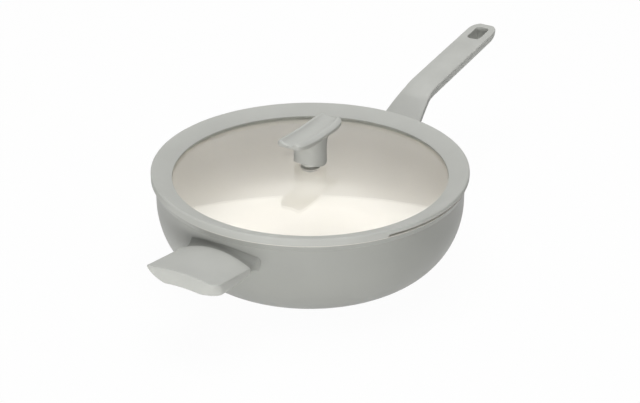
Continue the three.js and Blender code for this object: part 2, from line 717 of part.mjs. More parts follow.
function handleScrew() {
  const tip = HANDLE_TONGUE_THICKNESS / 2;
  return ontoTongue(screw(
    handleScrewFoot, HANDLE_SCREW_HEAD_RADIUS, HANDLE_SCREW_HEAD_HEIGHT, HANDLE_SCREW_RADIUS, tip,
  ));
}

function handleWasher() {
  const bore = HANDLE_SCREW_RADIUS + SEAT;
  return ontoTongue(washer(bore, HANDLE_SCREW_HEAD_RADIUS, handleWasherFoot, HANDLE_WASHER_THICKNESS));
}

// Slice of the helper grip at a run from its root. Its crown flattens outwards, its sole falls, and each
// outer corner has its own rounding. Near the end the sole rises, so that the end leans like the sides.
function helperSlice(run) {
  const share = run / HELPER_LENGTH;
  const crown = THREE.MathUtils.lerp(HELPER_ROOT_CROWN, HELPER_END_CROWN, share);
  const ridge = HELPER_RIDGE_HEIGHT + HELPER_RISE * share;
  const sole = ridge - THREE.MathUtils.lerp(HELPER_ROOT_THICKNESS, HELPER_END_THICKNESS, share);
  const top = (y) => ridge - crown * (y / HELPER_HALF_WIDTH) ** 2;
  const depth = HELPER_LEAN_DEPTH * ((HELPER_LENGTH - run) / HELPER_LEAN) ** (1 / HELPER_LEAN_POWER);
  const side = (round) => {
    const past = Math.max(0, run - HELPER_LENGTH + round);
    return HELPER_HALF_WIDTH - round + Math.sqrt(round ** 2 - past ** 2);
  };
  const lean = (across, down) => {
    const share = down / HELPER_LEAN_DEPTH;
    const round = across < 0 ? HELPER_NEAR_CORNER : HELPER_FAR_CORNER;
    const drawn = side(round) - side(round + HELPER_CORNER_GROWTH * share);
    return drawn + HELPER_LEAN * share ** HELPER_LEAN_POWER;
  };
  return {
    low: -side(HELPER_NEAR_CORNER),
    high: side(HELPER_FAR_CORNER),
    lean,
    top,
    bottom: (y, across) => Math.max(
      sole + HELPER_HOLLOW * (1 - across ** 2),
      top(y) - HELPER_SHOULDER - depth,
    ),
    shoulder: HELPER_SHOULDER,
    under: leaningUnder,
  };
}

const helperTongueFoot = HELPER_RIDGE_HEIGHT - HELPER_TONGUE_DROP;
const helperTongueMiddle = helperTongueFoot + HELPER_TONGUE_THICKNESS / 2;
const helperScrewSeat = helperTongueFoot - SEAT - HELPER_SCREW_FLOOR;
const helperScrewFoot = helperScrewSeat - SEAT - HELPER_SCREW_HEAD_HEIGHT;
const helperScrewPlaces = { left: HELPER_SCREW_SPACING / 2, right: -HELPER_SCREW_SPACING / 2 };

function helperTongue(play) {
  const back = helperRoot - HELPER_NECK / 2;
  const reach = helperRoot + HELPER_TONGUE_LENGTH + play;
  const thickness = HELPER_TONGUE_THICKNESS + 2 * play;
  const halfWidth = HELPER_TONGUE_HALF_WIDTH + play;
  return tongue(-back, helperTongueMiddle, -reach, helperTongueMiddle, halfWidth, thickness);
}

// Both screw places of a tool or screw that stands along Z.
function atHelperScrews(make) {
  const x = -helperRoot - HELPER_SCREW_INSET;
  return Object.values(helperScrewPlaces).map((y) => make().translate(x, y, 0));
}

function helperGrip() {
  const corner = HELPER_LENGTH - HELPER_NEAR_CORNER;
  const bevel = HELPER_LENGTH - HELPER_EDGE_BEVEL;
  const runs = [0, corner / 3, (2 * corner) / 3, corner];
  for (let i = 1; i < TIP_STEPS; i++) {
    runs.push(corner + (bevel - corner) * Math.sin((i / (TIP_STEPS - 1)) * (Math.PI / 2)));
  }
  const slices = runs.map((run) => gripSlice(-helperRoot - run, helperSlice(run)));
  const last = helperSlice(bevel);
  slices.push(gripSlice(-helperRoot - HELPER_LENGTH, {
    ...last,
    low: last.low + HELPER_EDGE_BEVEL,
    high: last.high - HELPER_EDGE_BEVEL,
    top: (y) => last.top(y) - HELPER_EDGE_BEVEL,
    bottom: (y, across) => last.bottom(y, across) + HELPER_EDGE_BEVEL,
  }));
  const wellRadius = HELPER_SCREW_HEAD_RADIUS + HOLE_PLAY;
  const wells = atHelperScrews(() => drill(wellRadius, helperScrewFoot - THROUGH, helperScrewSeat));
  const boreRadius = HELPER_SCREW_RADIUS + HOLE_PLAY;
  const bores = atHelperScrews(() => drill(boreRadius, helperScrewFoot, helperTongueMiddle));
  return cut(loft(slices), helperTongue(SEAT), ...wells, ...bores);
}

function helperBracket() {
  const neck = bracketNeck(-1, helperRoot, helperSlice(0), HELPER_BRACKET_HEEL);
  const holeRadius = HELPER_SCREW_RADIUS + SEAT;
  const holes = atHelperScrews(() => drill(holeRadius, helperScrewFoot, helperTongueMiddle + THROUGH));
  return cut(join(neck, helperTongue(0)), wallTrim(), ...holes);
}

function helperScrews() {
  const tip = helperTongueMiddle + HELPER_TONGUE_THICKNESS / 2;
  return atHelperScrews(() => screw(
    helperScrewFoot, HELPER_SCREW_HEAD_RADIUS, HELPER_SCREW_HEAD_HEIGHT, HELPER_SCREW_RADIUS, tip,
  ));
}

// Finishes
const finishes = {
  lacquer: { color: 0xb0b1ac, roughness: 0.5, metalness: 0.1 },
  grip: { color: 0xbcbdb8, roughness: 0.6, metalness: 0 },
  silicone: { color: 0xbdbeb9, roughness: 0.65, metalness: 0 },
  glass: { color: 0xe6ebe8, roughness: 0.05, metalness: 0, transparent: true, opacity: 0.3 },
  steel: { color: 0xc2c3c5, roughness: 0.3, metalness: 1 },
  brass: { color: 0xb8964f, roughness: 0.35, metalness: 1 },
};

function piece(name, geometry, finish) {
  const mesh = new THREE.Mesh(geometry, new THREE.MeshStandardMaterial(finishes[finish]));
  mesh.name = name;
  return mesh;
}

// The pan stands on its base and the lid lies on its rim.
const pan = new THREE.Group();
pan.add(
  piece('wok_body', wokBody(), 'lacquer'),
  piece('base_disc', baseDisc(), 'steel'),
  piece('handle_bracket', handleBracket(), 'lacquer'),
  piece('long_handle', longHandle(), 'grip'),
  piece('handle_screw', handleScrew(), 'steel'),
  piece('handle_washer', handleWasher(), 'steel'),
  piece('helper_bracket', helperBracket(), 'lacquer'),
  piece('helper_grip', helperGrip(), 'grip'),
);
helperScrews().forEach((made, i) => {
  pan.add(piece(`helper_screw_${Object.keys(helperScrewPlaces)[i]}`, made, 'steel'));
});

const lid = new THREE.Group();
lid.add(
  piece('lid_glass', lidGlass(), 'glass'),
  piece('lid_rim', lidRim(), 'silicone'),
  piece('knob_grip', knobGrip(), 'grip'),
  piece('knob_collar', washer(knobScrewHole, COLLAR_RADIUS, collarFoot, COLLAR_HEIGHT), 'silicone'),
  piece('knob_gasket', washer(knobScrewHole, GASKET_RADIUS, gasketFoot, GASKET_THICKNESS), 'silicone'),
  piece('knob_washer', washer(knobScrewHole, WASHER_RADIUS, washerFoot, WASHER_THICKNESS), 'steel'),
  piece('knob_screw', knobScrew(), 'steel'),
  piece('knob_insert', knobInsert(), 'brass'),
);

const wok = new THREE.Group();
wok.add(pan, lid);

export default wok;
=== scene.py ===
# %% [markdown]
# # A wok with a glass lid
#
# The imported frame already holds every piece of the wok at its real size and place. This lesson dresses
# those pieces: it gives each one a fine, smooth skin worked out from its own formula, and a finish built
# from shader nodes. Everything is in metres, +Z is up, and +X runs along the long handle.

import bpy
import numpy as np
from mathutils import Matrix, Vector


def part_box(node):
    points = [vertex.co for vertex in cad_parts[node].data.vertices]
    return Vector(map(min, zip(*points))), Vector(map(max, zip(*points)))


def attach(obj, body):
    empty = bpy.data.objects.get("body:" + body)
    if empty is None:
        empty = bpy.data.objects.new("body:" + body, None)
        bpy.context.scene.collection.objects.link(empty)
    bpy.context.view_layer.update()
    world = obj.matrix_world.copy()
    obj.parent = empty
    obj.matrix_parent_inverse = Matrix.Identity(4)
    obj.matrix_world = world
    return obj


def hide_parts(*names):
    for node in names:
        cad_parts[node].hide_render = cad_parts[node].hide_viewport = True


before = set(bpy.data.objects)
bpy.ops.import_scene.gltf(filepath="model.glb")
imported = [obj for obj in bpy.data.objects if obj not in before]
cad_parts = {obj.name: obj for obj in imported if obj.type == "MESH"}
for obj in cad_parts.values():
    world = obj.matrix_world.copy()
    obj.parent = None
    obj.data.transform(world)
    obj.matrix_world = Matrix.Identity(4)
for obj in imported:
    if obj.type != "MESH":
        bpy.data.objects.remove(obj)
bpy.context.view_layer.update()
print("nodes in the frame:", len(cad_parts))

# %% [markdown]
# ## The camera
#
# The view looks down over the helper grip, with the long handle running away to the right. A camera's own
# axes are right, up and back, and they follow from two angles, so the camera needs no target object.

# %% Set up the camera
IMAGE_WIDTH = 640
FOCAL_PIXELS = 1600
SENSOR_WIDTH = 36.0  # millimetres, as a camera's sensor is given
VIEW_TURN = np.radians(-58.0)
VIEW_TILT = np.radians(26.67)
CAMERA_PLACE = (-1.12386, -0.71283, 0.72483)


def view_axes(turn, tilt):
    """Right, up and back of a camera that is turned about Z and tilted down, as columns."""
    right = (np.cos(turn), np.sin(turn), 0.0)
    up = (-np.sin(turn) * np.sin(tilt), np.cos(turn) * np.sin(tilt), np.cos(tilt))
    back = (np.sin(turn) * np.cos(tilt), -np.cos(turn) * np.cos(tilt), np.sin(tilt))
    return np.array([right, up, back]).T


def add_object(name, data):
    """A new object around its data, linked into the scene."""
    thing = bpy.data.objects.new(name, data)
    bpy.context.scene.collection.objects.link(thing)
    return thing


def aim(thing, place, turn, tilt):
    """Puts a camera or a lamp at a place, turned about Z and tilted down."""
    axes = Matrix(view_axes(turn, tilt).tolist()).to_4x4()
    thing.matrix_world = Matrix.Translation(place) @ axes


def add_camera():
    lens = bpy.data.cameras.new("camera")
    lens.sensor_fit = "HORIZONTAL"
    lens.sensor_width = SENSOR_WIDTH
    lens.lens = SENSOR_WIDTH * FOCAL_PIXELS / IMAGE_WIDTH
    camera = add_object("camera", lens)
    aim(camera, CAMERA_PLACE, VIEW_TURN, VIEW_TILT)
    bpy.context.scene.camera = camera
    return camera


print("lens of", round(add_camera().data.lens, 1), "mm")

# %% [markdown]
# ## Skins from arrays
#
# Every piece here is a closed skin: a grid of points whose rows are rings. One helper turns such a grid
# into a mesh, so each piece only has to say where its points are. The helper measures the volume inside,
# because a negative volume means that the faces look inwards and have to be turned round.

# %% Make a mesh from a grid
SHARP_ANGLE = np.radians(38.0)


def enclosed(points, faces):
    """Six times the volume shut in by triangles or quads: the sum of a . (b x c) over their corners."""
    a, b, c = (points[faces[:, i]] for i in range(3))
    total = np.sum(a * np.cross(b, c))
    if faces.shape[1] == 4:
        total += np.sum(a * np.cross(c, points[faces[:, 3]]))
    return total


def smooth(mesh):
    """Shades the faces smoothly, except across edges that are really sharp."""
    mesh.shade_smooth()
    mesh.set_sharp_from_angle(angle=SHARP_ANGLE)


def skin(name, rings, looped=False, bands=None):
    """A closed mesh object from rings[i, j]: j runs round each ring, and i from one ring to the next.
    A looped skin joins its last ring to its first. Any other shuts each end with a fan.
    bands, if given, holds the material slot of the faces between each ring and the next."""
    count, steps = rings.shape[:2]
    ids = np.arange(count * steps).reshape(count, steps)
    near = ids if looped else ids[:-1]
    far = np.roll(ids, -1, axis=0)[: len(near)]
    quads = np.stack([near, np.roll(near, -1, 1), np.roll(far, -1, 1), far], axis=-1).reshape(-1, 4)
    points = rings.reshape(-1, 3)
    fans = np.empty((0, 3), int)
    if not looped:
        points = np.vstack([points, rings[0].mean(axis=0), rings[-1].mean(axis=0)])
        first = np.full(steps, count * steps)
        start = np.stack([np.roll(ids[0], -1), ids[0], first], axis=-1)
        end = np.stack([ids[-1], np.roll(ids[-1], -1), first + 1], axis=-1)
        fans = np.vstack([start, end])
    if enclosed(points, quads) + enclosed(points, fans) < 0:
        quads = quads[:, ::-1]
        fans = fans[:, ::-1]
    mesh = bpy.data.meshes.new(name)
    mesh.from_pydata(points.tolist(), [], quads.tolist() + fans.tolist())
    if bands is not None:
        ends = np.repeat([bands[0], bands[-1]], len(fans) // 2)
        worn = np.concatenate([np.repeat(bands, steps), ends]).astype(np.int32)
        mesh.polygons.foreach_set("material_index", worn)
    smooth(mesh)
    return add_object(name, mesh)


def combine(piece, operation, tools):
    """Adds the tools' volumes to a piece or takes them out of it, and deletes the tools."""
    for tool in tools:
        step = piece.modifiers.new("step", "BOOLEAN")
        step.operation = operation
        step.solver = "EXACT"
        step.object = tool
    shaped = piece.evaluated_get(bpy.context.evaluated_depsgraph_get())
    blank = piece.data
    piece.data = bpy.data.meshes.new_from_object(shaped)
    piece.data.name = piece.name
    piece.modifiers.clear()
    bpy.data.meshes.remove(blank)
    for tool in tools:
        bpy.data.objects.remove(tool)
    smooth(piece.data)
    return piece


def cut(piece, *tools):
    return combine(piece, "DIFFERENCE", tools)


def join(piece, *tools):
    return combine(piece, "UNION", tools)


print("edges are sharp from", round(np.degrees(SHARP_ANGLE)), "degrees on")

# %% [markdown]
# ## Profiles
#
# Most of a lidded pan is turned: one profile, carried round the Z axis. A profile is drawn through a few
# corners, and each corner has a rounding of its own, because no cast, pressed or moulded edge is sharp.

# %% Draw and turn profiles
ROUND_STEPS = 240  # round a large turned piece
SMALL_STEPS = 64  # round a small one
ARC_STEPS = 7
CURVE_STEPS = 56
TINY = 1e-9  # keeps a division from zero


def full_turn(steps):
    """Angles all the way round, in equal steps."""
    return np.linspace(0, 2 * np.pi, steps, endpoint=False)


def quarter_turn(steps):
    """Angles from 0 to a right angle, in equal steps."""
    return np.linspace(0, np.pi / 2, steps)


def shares(count):
    """Shares from 0 to 1 in equal steps, as a column."""
    return np.linspace(0, 1, count)[:, None]


def mix(first, second, share):
    """The first where the share is 0 and the second where it is 1: a + (b - a) t."""
    return first + (second - first) * share


def ease(t):
    """A smooth step from 0 to 1: 3 t^2 - 2 t^3."""
    return t * t * (3 - 2 * t)


def curve(start, corner, end, t):
    """A curve that rounds off a corner: (1 - t)^2 start + 2 t (1 - t) corner + t^2 end."""
    return (1 - t) ** 2 * start + 2 * t * (1 - t) * corner + t**2 * end


def unit(vectors):
    """Each row of an array at length 1."""
    return vectors / np.maximum(np.linalg.norm(vectors, axis=-1, keepdims=True), TINY)


def rounded(corners):
    """A profile through corners of (radius, height, rounding).
    A rounding is an arc about a middle on the bisector of the corner's two sides, touching both."""
    corners = np.array(corners, float)
    points, rounds = corners[:, :2], corners[:, 2]
    before = unit(np.roll(points, 1, axis=0) - points)
    after = unit(np.roll(points, -1, axis=0) - points)
    half = np.arccos(np.clip(np.sum(before * after, axis=1), -1, 1)) / 2
    inward, along = unit(before + after), unit(after - before)
    middle = points + inward * (rounds / np.maximum(np.sin(half), TINY))[:, None]
    turn = np.linspace(-1, 1, ARC_STEPS) * (np.pi / 2 - half)[:, None]
    swing = along[:, None] * np.sin(turn)[..., None] - inward[:, None] * np.cos(turn)[..., None]
    arcs = middle[:, None] + rounds[:, None, None] * swing
    return np.vstack([arc if r > 0 else point[None] for arc, r, point in zip(arcs, rounds, points)])


def swept(radius, height, angles):
    """Points at radii and heights in the directions of angles: x = r cos a, y = r sin a, z = h."""
    return np.stack([radius * np.cos(angles), radius * np.sin(angles), height + 0 * angles], axis=-1)


def turned(profile, steps=ROUND_STEPS):
    """Rings of a profile turned about Z."""
    return swept(profile[:, :1], profile[:, 1:], full_turn(steps))


def quarter(flat, foot, wall, head):
    """A quarter ellipse that leaves the level at (flat, foot) and meets the upright at (wall, head)."""
    turn = quarter_turn(CURVE_STEPS)
    return np.stack([mix(flat, wall, np.sin(turn)), mix(head, foot, np.cos(turn))], axis=1)


def tilted(rings, place, slope):
    """Rings turned about Y and moved to a place: x' = x cos s - z sin s, z' = x sin s + z cos s."""
    x, y, z = np.moveaxis(rings, -1, 0)
    x, z = x * np.cos(slope) - z * np.sin(slope), x * np.sin(slope) + z * np.cos(slope)
    return np.stack([x, y, z], axis=-1) + np.array(place)


print("a corner with a rounding has", ARC_STEPS, "points")

# %% [markdown]
# ## Finishes
#
# Shader maths reads best as maths. A small class wraps one output socket and overloads the operators, so
# that 1 - mask adds a Math node by itself. Any other node comes from one method. What changes over a
# surface goes only into colour, roughness and bump, and what is the same all over is set on the shader.

# %% Wrap shader sockets
MOTTLE_START = 0.3  # of a cloudy value, where its second colour begins
MOTTLE_END = 0.7


class Wire:
    """One output of a material's nodes. Arithmetic on it adds Math nodes."""

    def __init__(self, tree, socket=None):
        self.tree = tree
        self.socket = socket

    def node(self, kind, settings=None, inputs=None, output=0):
        """Adds a node: first its settings, then each input's value or link. Returns one of its outputs."""
        made = self.tree.nodes.new(kind)
        for name, value in (settings or {}).items():
            setattr(made, name, value)
        for name, value in (inputs or {}).items():
            if isinstance(value, Wire):
                self.tree.links.new(value.socket, made.inputs[name])
            else:
                made.inputs[name].default_value = value
        return Wire(self.tree, made.outputs[output])

    def math(self, operation, first, second=0.0):
        return self.node("ShaderNodeMath", {"operation": operation}, {0: first, 1: second})

    def sine(self):
        return self.math("SINE", self)

    def __add__(self, other):
        return self.math("ADD", self, other)

    def __sub__(self, other):
        return self.math("SUBTRACT", self, other)

    def __rsub__(self, other):
        return self.math("SUBTRACT", other, self)

    def __mul__(self, other):
        return self.math("MULTIPLY", self, other)

    def __pow__(self, other):
        return self.math("POWER", self, other)

    __radd__ = __add__
    __rmul__ = __mul__

    def ramp(self, start, end):
        """0 below start, 1 above end, and a smooth rise between them."""
        limits = {"Value": self, "From Min": start, "From Max": end}
        return self.node("ShaderNodeMapRange", {"interpolation_type": "SMOOTHSTEP"}, limits)

    def between(self, first, second):
        """The first colour where this value is 0 and the second where it is 1."""
        return self.node("ShaderNodeMix", {"data_type": "RGBA"}, {0: self, 6: first, 7: second}, output=2)

    def noise(self, scale, detail=2.0):
        """Cloudy values from 0 to 1 over a vector, with about scale blotches to the metre."""
        return self.node("ShaderNodeTexNoise", None, {"Vector": self, "Scale": scale, "Detail": detail})

    def mottle(self, dark, pale):
        """Two colours in soft blotches, where this is a cloudy value."""
        return self.ramp(MOTTLE_START, MOTTLE_END).between(dark, pale)

    def uneven(self, least, spread, scale):
        """A value that varies over a vector, from least by up to spread."""
        return least + spread * self.noise(scale)

    def cells(self, scale):
        """Distance to the nearest of many scattered points, about scale of them to the metre."""
        return self.node("ShaderNodeTexVoronoi", None, {"Vector": self, "Scale": scale})

    def axes(self):
        """The three parts of a vector."""
        parts = self.node("ShaderNodeSeparateXYZ", None, {0: self})
        return [Wire(self.tree, socket) for socket in parts.socket.node.outputs]

    def bump(self, depth, strength=0.5):
        """A normal for a surface that this value raises by up to depth, in metres."""
        return self.node("ShaderNodeBump", None, {"Height": self, "Distance": depth, "Strength": strength})


def linear(red, green, blue):
    """A colour as it looks on a screen, from 0 to 255, as the linear values that shaders count in. The
    numbers are those of the sRGB standard."""
    share = np.array([red, green, blue]) / 255
    light = np.where(share <= 0.04045, share / 12.92, ((share + 0.055) / 1.055) ** 2.4)
    return (*light.tolist(), 1.0)


def node_of(tree, kind):
    """The first node of a kind among a tree's nodes."""
    return next(node for node in tree.nodes if node.type == kind)


def new_finish(name):
    """An empty material: its shader node and a wire of the object's own coordinates."""
    material = bpy.data.materials.new(name)
    material.use_nodes = True
    tree = material.node_tree
    place = Wire(tree).node("ShaderNodeTexCoord", output="Object")
    return material, node_of(tree, "BSDF_PRINCIPLED"), place


def feed(shader, **inputs):
    """Links wires to a shader's sockets, or sets plain values on them."""
    for name, value in inputs.items():
        socket = shader.inputs[name.replace("_", " ")]
        if isinstance(value, Wire):
            value.tree.links.new(value.socket, socket)
        else:
            socket.default_value = value


def show_mix(place, shader, other, share):
    """Shows a share of another shader in place of a material's own."""
    own = Wire(place.tree, shader.outputs[0])
    mixed = place.node("ShaderNodeMixShader", None, {0: share, 1: own, 2: other})
    place.tree.links.new(mixed.socket, node_of(place.tree, "OUTPUT_MATERIAL").inputs["Surface"])


print("half white on a screen is", round(linear(128, 128, 128)[0], 2), "in linear light")

# %% [markdown]
# ### Lacquer, plastic and silicone
#
# The three greys of the wok are close in colour and differ in texture. The pan's lacquer is sprayed, so
# it has the soft ripple that sprayers call orange peel. The grips are moulded in a tool with a fine etched
# grain. The lid's rim is silicone, which is the most matt and holds a little dust. The knob's small seals
# get a much paler copy of the rim's silicone. This is painted light: it brightens the collar, which sits in
# the stem's shade.

# %% Make the grey finishes
LACQUER_GREY = linear(160, 161, 156)
LACQUER_SHADE = linear(155, 156, 151)
GRIP_GREY = linear(190, 191, 186)
GRIP_SHADE = linear(185, 186, 181)
SILICONE_GREY = linear(191, 192, 187)
SILICONE_SHADE = linear(187, 188, 183)
# painted light: a far paler copy of the rim's silicone, so that the collar looks bright in the stem's shade
SEAL_PAINTED_LIGHT = linear(232, 232, 228)
SEAL_PAINTED_LIGHT_MOTTLE = linear(226, 226, 221)
DUST = linear(212, 212, 208)
SPECK_START = 0.9  # of the nearness to a speck's middle
SPECK_END = 0.97
SPECK_SHARE = 0.25  # of the dust's colour
GRIP_NOISE = 0.5  # height of the noise in the grips' grain, where that of the cells is 1


def lacquer_finish():
    material, shader, place = new_finish("pan_lacquer")
    peel = place.noise(scale=420.0, detail=1.0)
    feed(
        shader,
        Base_Color=place.noise(scale=14.0, detail=3.0).mottle(LACQUER_SHADE, LACQUER_GREY),
        Roughness=place.uneven(least=0.42, spread=0.1, scale=60.0),
        Normal=peel.bump(depth=0.00006),
        Coat_Weight=0.15,
        Coat_Roughness=0.35,
    )
    return material


def grip_finish():
    material, shader, place = new_finish("grip_plastic")
    grain = place.cells(scale=1500.0) + GRIP_NOISE * place.noise(scale=3000.0, detail=1.0)
    feed(
        shader,
        Base_Color=place.noise(scale=30.0, detail=3.0).mottle(GRIP_SHADE, GRIP_GREY),
        Roughness=place.uneven(least=0.5, spread=0.12, scale=90.0),
        Normal=grain.bump(depth=0.00005),
    )
    return material


def silicone_finish(name, pale, shade):
    material, shader, place = new_finish(name)
    even = place.noise(scale=22.0, detail=3.0).mottle(shade, pale)
    specks = (1 - place.cells(scale=700.0)).ramp(SPECK_START, SPECK_END)
    feed(
        shader,
        Base_Color=(SPECK_SHARE * specks).between(even, DUST),
        Roughness=place.uneven(least=0.58, spread=0.12, scale=140.0),
        Specular_IOR_Level=0.25,
        Normal=place.noise(scale=1600.0).bump(depth=0.00004),
    )
    return material


lacquer, grip_plastic = lacquer_finish(), grip_finish()
silicone = silicone_finish("rim_silicone", SILICONE_GREY, SILICONE_SHADE)
# the seals' finish is painted light, a paler copy of the rim's silicone
painted_light_seal = silicone_finish("seal_painted_light", SEAL_PAINTED_LIGHT, SEAL_PAINTED_LIGHT_MOTTLE)
print("greys:", lacquer.name, grip_plastic.name, silicone.name, painted_light_seal.name)

# %% [markdown]
# ### Ceramic, glass and metals
#
# The inside of the pan has a cream ceramic coating, fired on after spraying, with a soft gloss. The lid is
# clear glass: a pure glass shader would leave the inside of the pan dark, because lamps reach through it
# only as focused light, so rays on their way to a lamp pass it as if it were an open pane. The disc, the
# knob's washer and the brass insert are turned on a lathe, which leaves fine rings about the axis. The
# screws and the handle's washer are pressed and tumbled, which leaves a fine even grain.

# %% Make the other finishes
CERAMIC_CREAM = linear(220, 216, 209)
CERAMIC_SHADE = linear(216, 212, 204)
GLASS_MIDDLE = linear(252, 252, 250)
GLASS_EDGE = linear(226, 240, 232)
GLASS_EDGE_START = 0.126  # from the axis
GLASS_EDGE_END = 0.134
STEEL_BRIGHT = linear(200, 200, 201)
STEEL_DARK = linear(172, 172, 174)
BRASS_BRIGHT = linear(196, 160, 92)
BRASS_DARK = linear(160, 122, 62)
STEEL_RING_PITCH = 0.0011
BRASS_RING_PITCH = 0.0008
METAL_ROUGH = 0.26
METAL_WEAR = 0.16
METAL_NOISE = 0.6  # height of the noise, where that of the tooling marks is 1


def ceramic_finish():
    material, shader, place = new_finish("ceramic_coating")
    feed(
        shader,
        Base_Color=place.noise(scale=18.0, detail=4.0).mottle(CERAMIC_SHADE, CERAMIC_CREAM),
        Roughness=place.uneven(least=0.34, spread=0.1, scale=70.0),
        Normal=place.noise(scale=600.0, detail=1.0).bump(depth=0.00003, strength=0.4),
        Coat_Weight=0.2,
        Coat_Roughness=0.25,
    )
    return material


def from_axis(place):
    """Distance of a point from the Z axis: (x^2 + y^2) ^ 0.5."""
    x, y, _ = place.axes()
    return (x * x + y * y) ** 0.5


def glass_finish():
    material, shader, place = new_finish("clear_glass")
    edge = from_axis(place).ramp(GLASS_EDGE_START, GLASS_EDGE_END)
    feed(
        shader,
        Base_Color=edge.between(GLASS_MIDDLE, GLASS_EDGE),
        Roughness=0.0,
        IOR=1.5,
        Transmission_Weight=1.0,
    )
    to_lamp = place.node("ShaderNodeLightPath", output="Is Shadow Ray")
    show_mix(place, shader, place.node("ShaderNodeBsdfTransparent"), to_lamp)
    return material


def metal_finish(name, bright, dark, marks):
    """Bare metal. marks gives the heights of its tooling marks over a place."""
    material, shader, place = new_finish(name)
    wear = place.noise(scale=160.0, detail=3.0)
    feed(
        shader,
        Base_Color=wear.mottle(dark, bright),
        Metallic=1.0,
        Roughness=METAL_ROUGH + METAL_WEAR * wear,
        Normal=(marks(place) + METAL_NOISE * place.noise(scale=2400.0)).bump(depth=0.00002),
    )
    return material


def lathe_rings(pitch):
    """Marks of a lathe: a sine of the distance from the Z axis, with the given pitch."""
    return lambda place: (from_axis(place) * (2 * np.pi / pitch)).sine()


def tumbled_grain(place):
    """Marks of tumbling: an even grain of small cells."""
    return place.cells(scale=1800.0)


ceramic, glass = ceramic_finish(), glass_finish()
steel = metal_finish("turned_steel", STEEL_BRIGHT, STEEL_DARK, lathe_rings(STEEL_RING_PITCH))
headed_steel = metal_finish("headed_steel", STEEL_BRIGHT, STEEL_DARK, tumbled_grain)
brass = metal_finish("turned_brass", BRASS_BRIGHT, BRASS_DARK, lathe_rings(BRASS_RING_PITCH))
print("others:", ceramic.name, glass.name, steel.name, headed_steel.name, brass.name)

# %% [markdown]
# ## The pan
#
# The pan is one casting: a flat base, a side that curves up as a quarter ellipse, a short upright wall and
# a rim that steps out from the wall and leans out to its top. It is turned from one profile. The outside is
# lacquered and the inside is ceramic, up and over the top of the rim, so the faces of the profile's inner
# part take the second material slot.

# %% Dress a piece
SEAT = 0.0003  # gap between pieces that rest on each other


def dress(piece, body, slot, *finishes):
    """Puts finishes on a piece, makes it ride on its body and stand for the frame's node of its name."""
    for finish in finishes:
        piece.data.materials.append(finish)
    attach(piece, body)
    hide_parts(piece.name.removesuffix("_skin"))
    print(piece.name, "has", len(piece.data.polygons), "faces")
    return piece


print("pieces that rest on each other are", SEAT, "m apart")

# %% Turn the pan
PAN_WALL = 0.003
PAN_FLOOR = 0.0045
FLAT_RADIUS = 0.0885
CURVE_HEIGHT = 0.065
BEAD_DEPTH = 0.0011
BEAD_HEIGHT = 0.0063
RIM_FLARE = 0.0014
RIM_ROUND = 0.0013
COAT_DROP = 0.0012  # the coating ends this far below the rim's top, on the outside
FINE_ROUND = 0.0004
POLE = 0.0004  # radius of the fan that shuts a turned piece on its axis

rim_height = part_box("wok_body")[1].z
rim_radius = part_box("wok_body")[1].y
bead_radius = rim_radius - RIM_FLARE
wall_radius = bead_radius - BEAD_DEPTH
inner_radius = wall_radius - PAN_WALL
disc_radius, disc_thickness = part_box("base_disc")[1].yz


def pan_profile():
    """Profile from the middle of the underside, out and up the wall, over the rim and in on the floor."""
    recess = disc_thickness + SEAT
    under = rounded([
        (POLE, recess, 0),
        (disc_radius + SEAT, recess, 0),
        (disc_radius + SEAT, 0, FINE_ROUND),
        (FLAT_RADIUS, 0, 0),
    ])
    bead_foot = rim_height - BEAD_HEIGHT
    rim = rounded([
        (wall_radius, CURVE_HEIGHT, 0),
        (wall_radius, bead_foot, FINE_ROUND),
        (bead_radius, bead_foot + BEAD_DEPTH, FINE_ROUND),
        (rim_radius, rim_height - RIM_ROUND, 0),
        (rim_radius, rim_height, RIM_ROUND),
        (inner_radius, rim_height, RIM_ROUND),
        (inner_radius, CURVE_HEIGHT, 0),
    ])
    outside = quarter(FLAT_RADIUS, 0, wall_radius, CURVE_HEIGHT)
    inside = quarter(FLAT_RADIUS, PAN_FLOOR, inner_radius, CURVE_HEIGHT)[::-1]
    return np.vstack([under[:-1], outside[:-1], rim[:-1], inside, [(POLE, PAN_FLOOR)]])


def wok_body():
    profile = pan_profile()
    coated = np.arange(len(profile) - 1) >= np.argmax(profile[:, 1] > rim_height - COAT_DROP)
    return skin("wok_body_skin", turned(profile), bands=coated)


dress(wok_body(), "pan", "pan_lacquer", lacquer, ceramic)

# %% [markdown]
# The disc in the underside is steel, for induction hobs. It was faced on a lathe, so its lower face is a
# very shallow spiral of grooves, here drawn as rings.

# %% Turn the base disc
GROOVE_PITCH = 0.0024
GROOVE_DEPTH = 0.00012
DISC_RINGS = 360


def base_disc():
    """A disc whose lower face waves by depth / 2 * (1 - cos(2 pi (edge - r) / pitch))."""
    edge = disc_radius - 2 * FINE_ROUND
    radius = np.linspace(POLE, edge, DISC_RINGS)
    wave = GROOVE_DEPTH / 2 * (1 - np.cos(2 * np.pi * (edge - radius) / GROOVE_PITCH))
    side = rounded([
        (edge, 0, 0),
        (disc_radius, 0, FINE_ROUND),
        (disc_radius, disc_thickness, FINE_ROUND),
        (POLE, disc_thickness, 0),
    ])
    return skin("base_disc_skin", turned(np.vstack([np.stack([radius, wave], axis=1), side[1:]])))


dress(base_disc(), "pan", "steel", steel)

# %% [markdown]
# ## The lid
#
# The glass is part of a ball, pressed hot into a mould and toughened, and it lies in the soft rim's groove.
# It could be cut from a sphere, but a profile that follows the arc brings the rounded edges with it.

# %% Turn the glass
GLASS_THICKNESS = 0.004
GLASS_RISE = 0.0105
GLASS_HOLE = 0.0042
LEDGE_THICKNESS = 0.0022
DOME_STEPS = 48

glass_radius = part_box("lid_glass")[1].x
lid_radius, lid_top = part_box("lid_rim")[1].xz
ledge_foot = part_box("lid_rim")[0].z
lid_seat = rim_height + SEAT
ball_radius = (glass_radius**2 + GLASS_RISE**2) / (2 * GLASS_RISE)
glass_crown = ledge_foot + LEDGE_THICKNESS + SEAT + GLASS_THICKNESS + GLASS_RISE


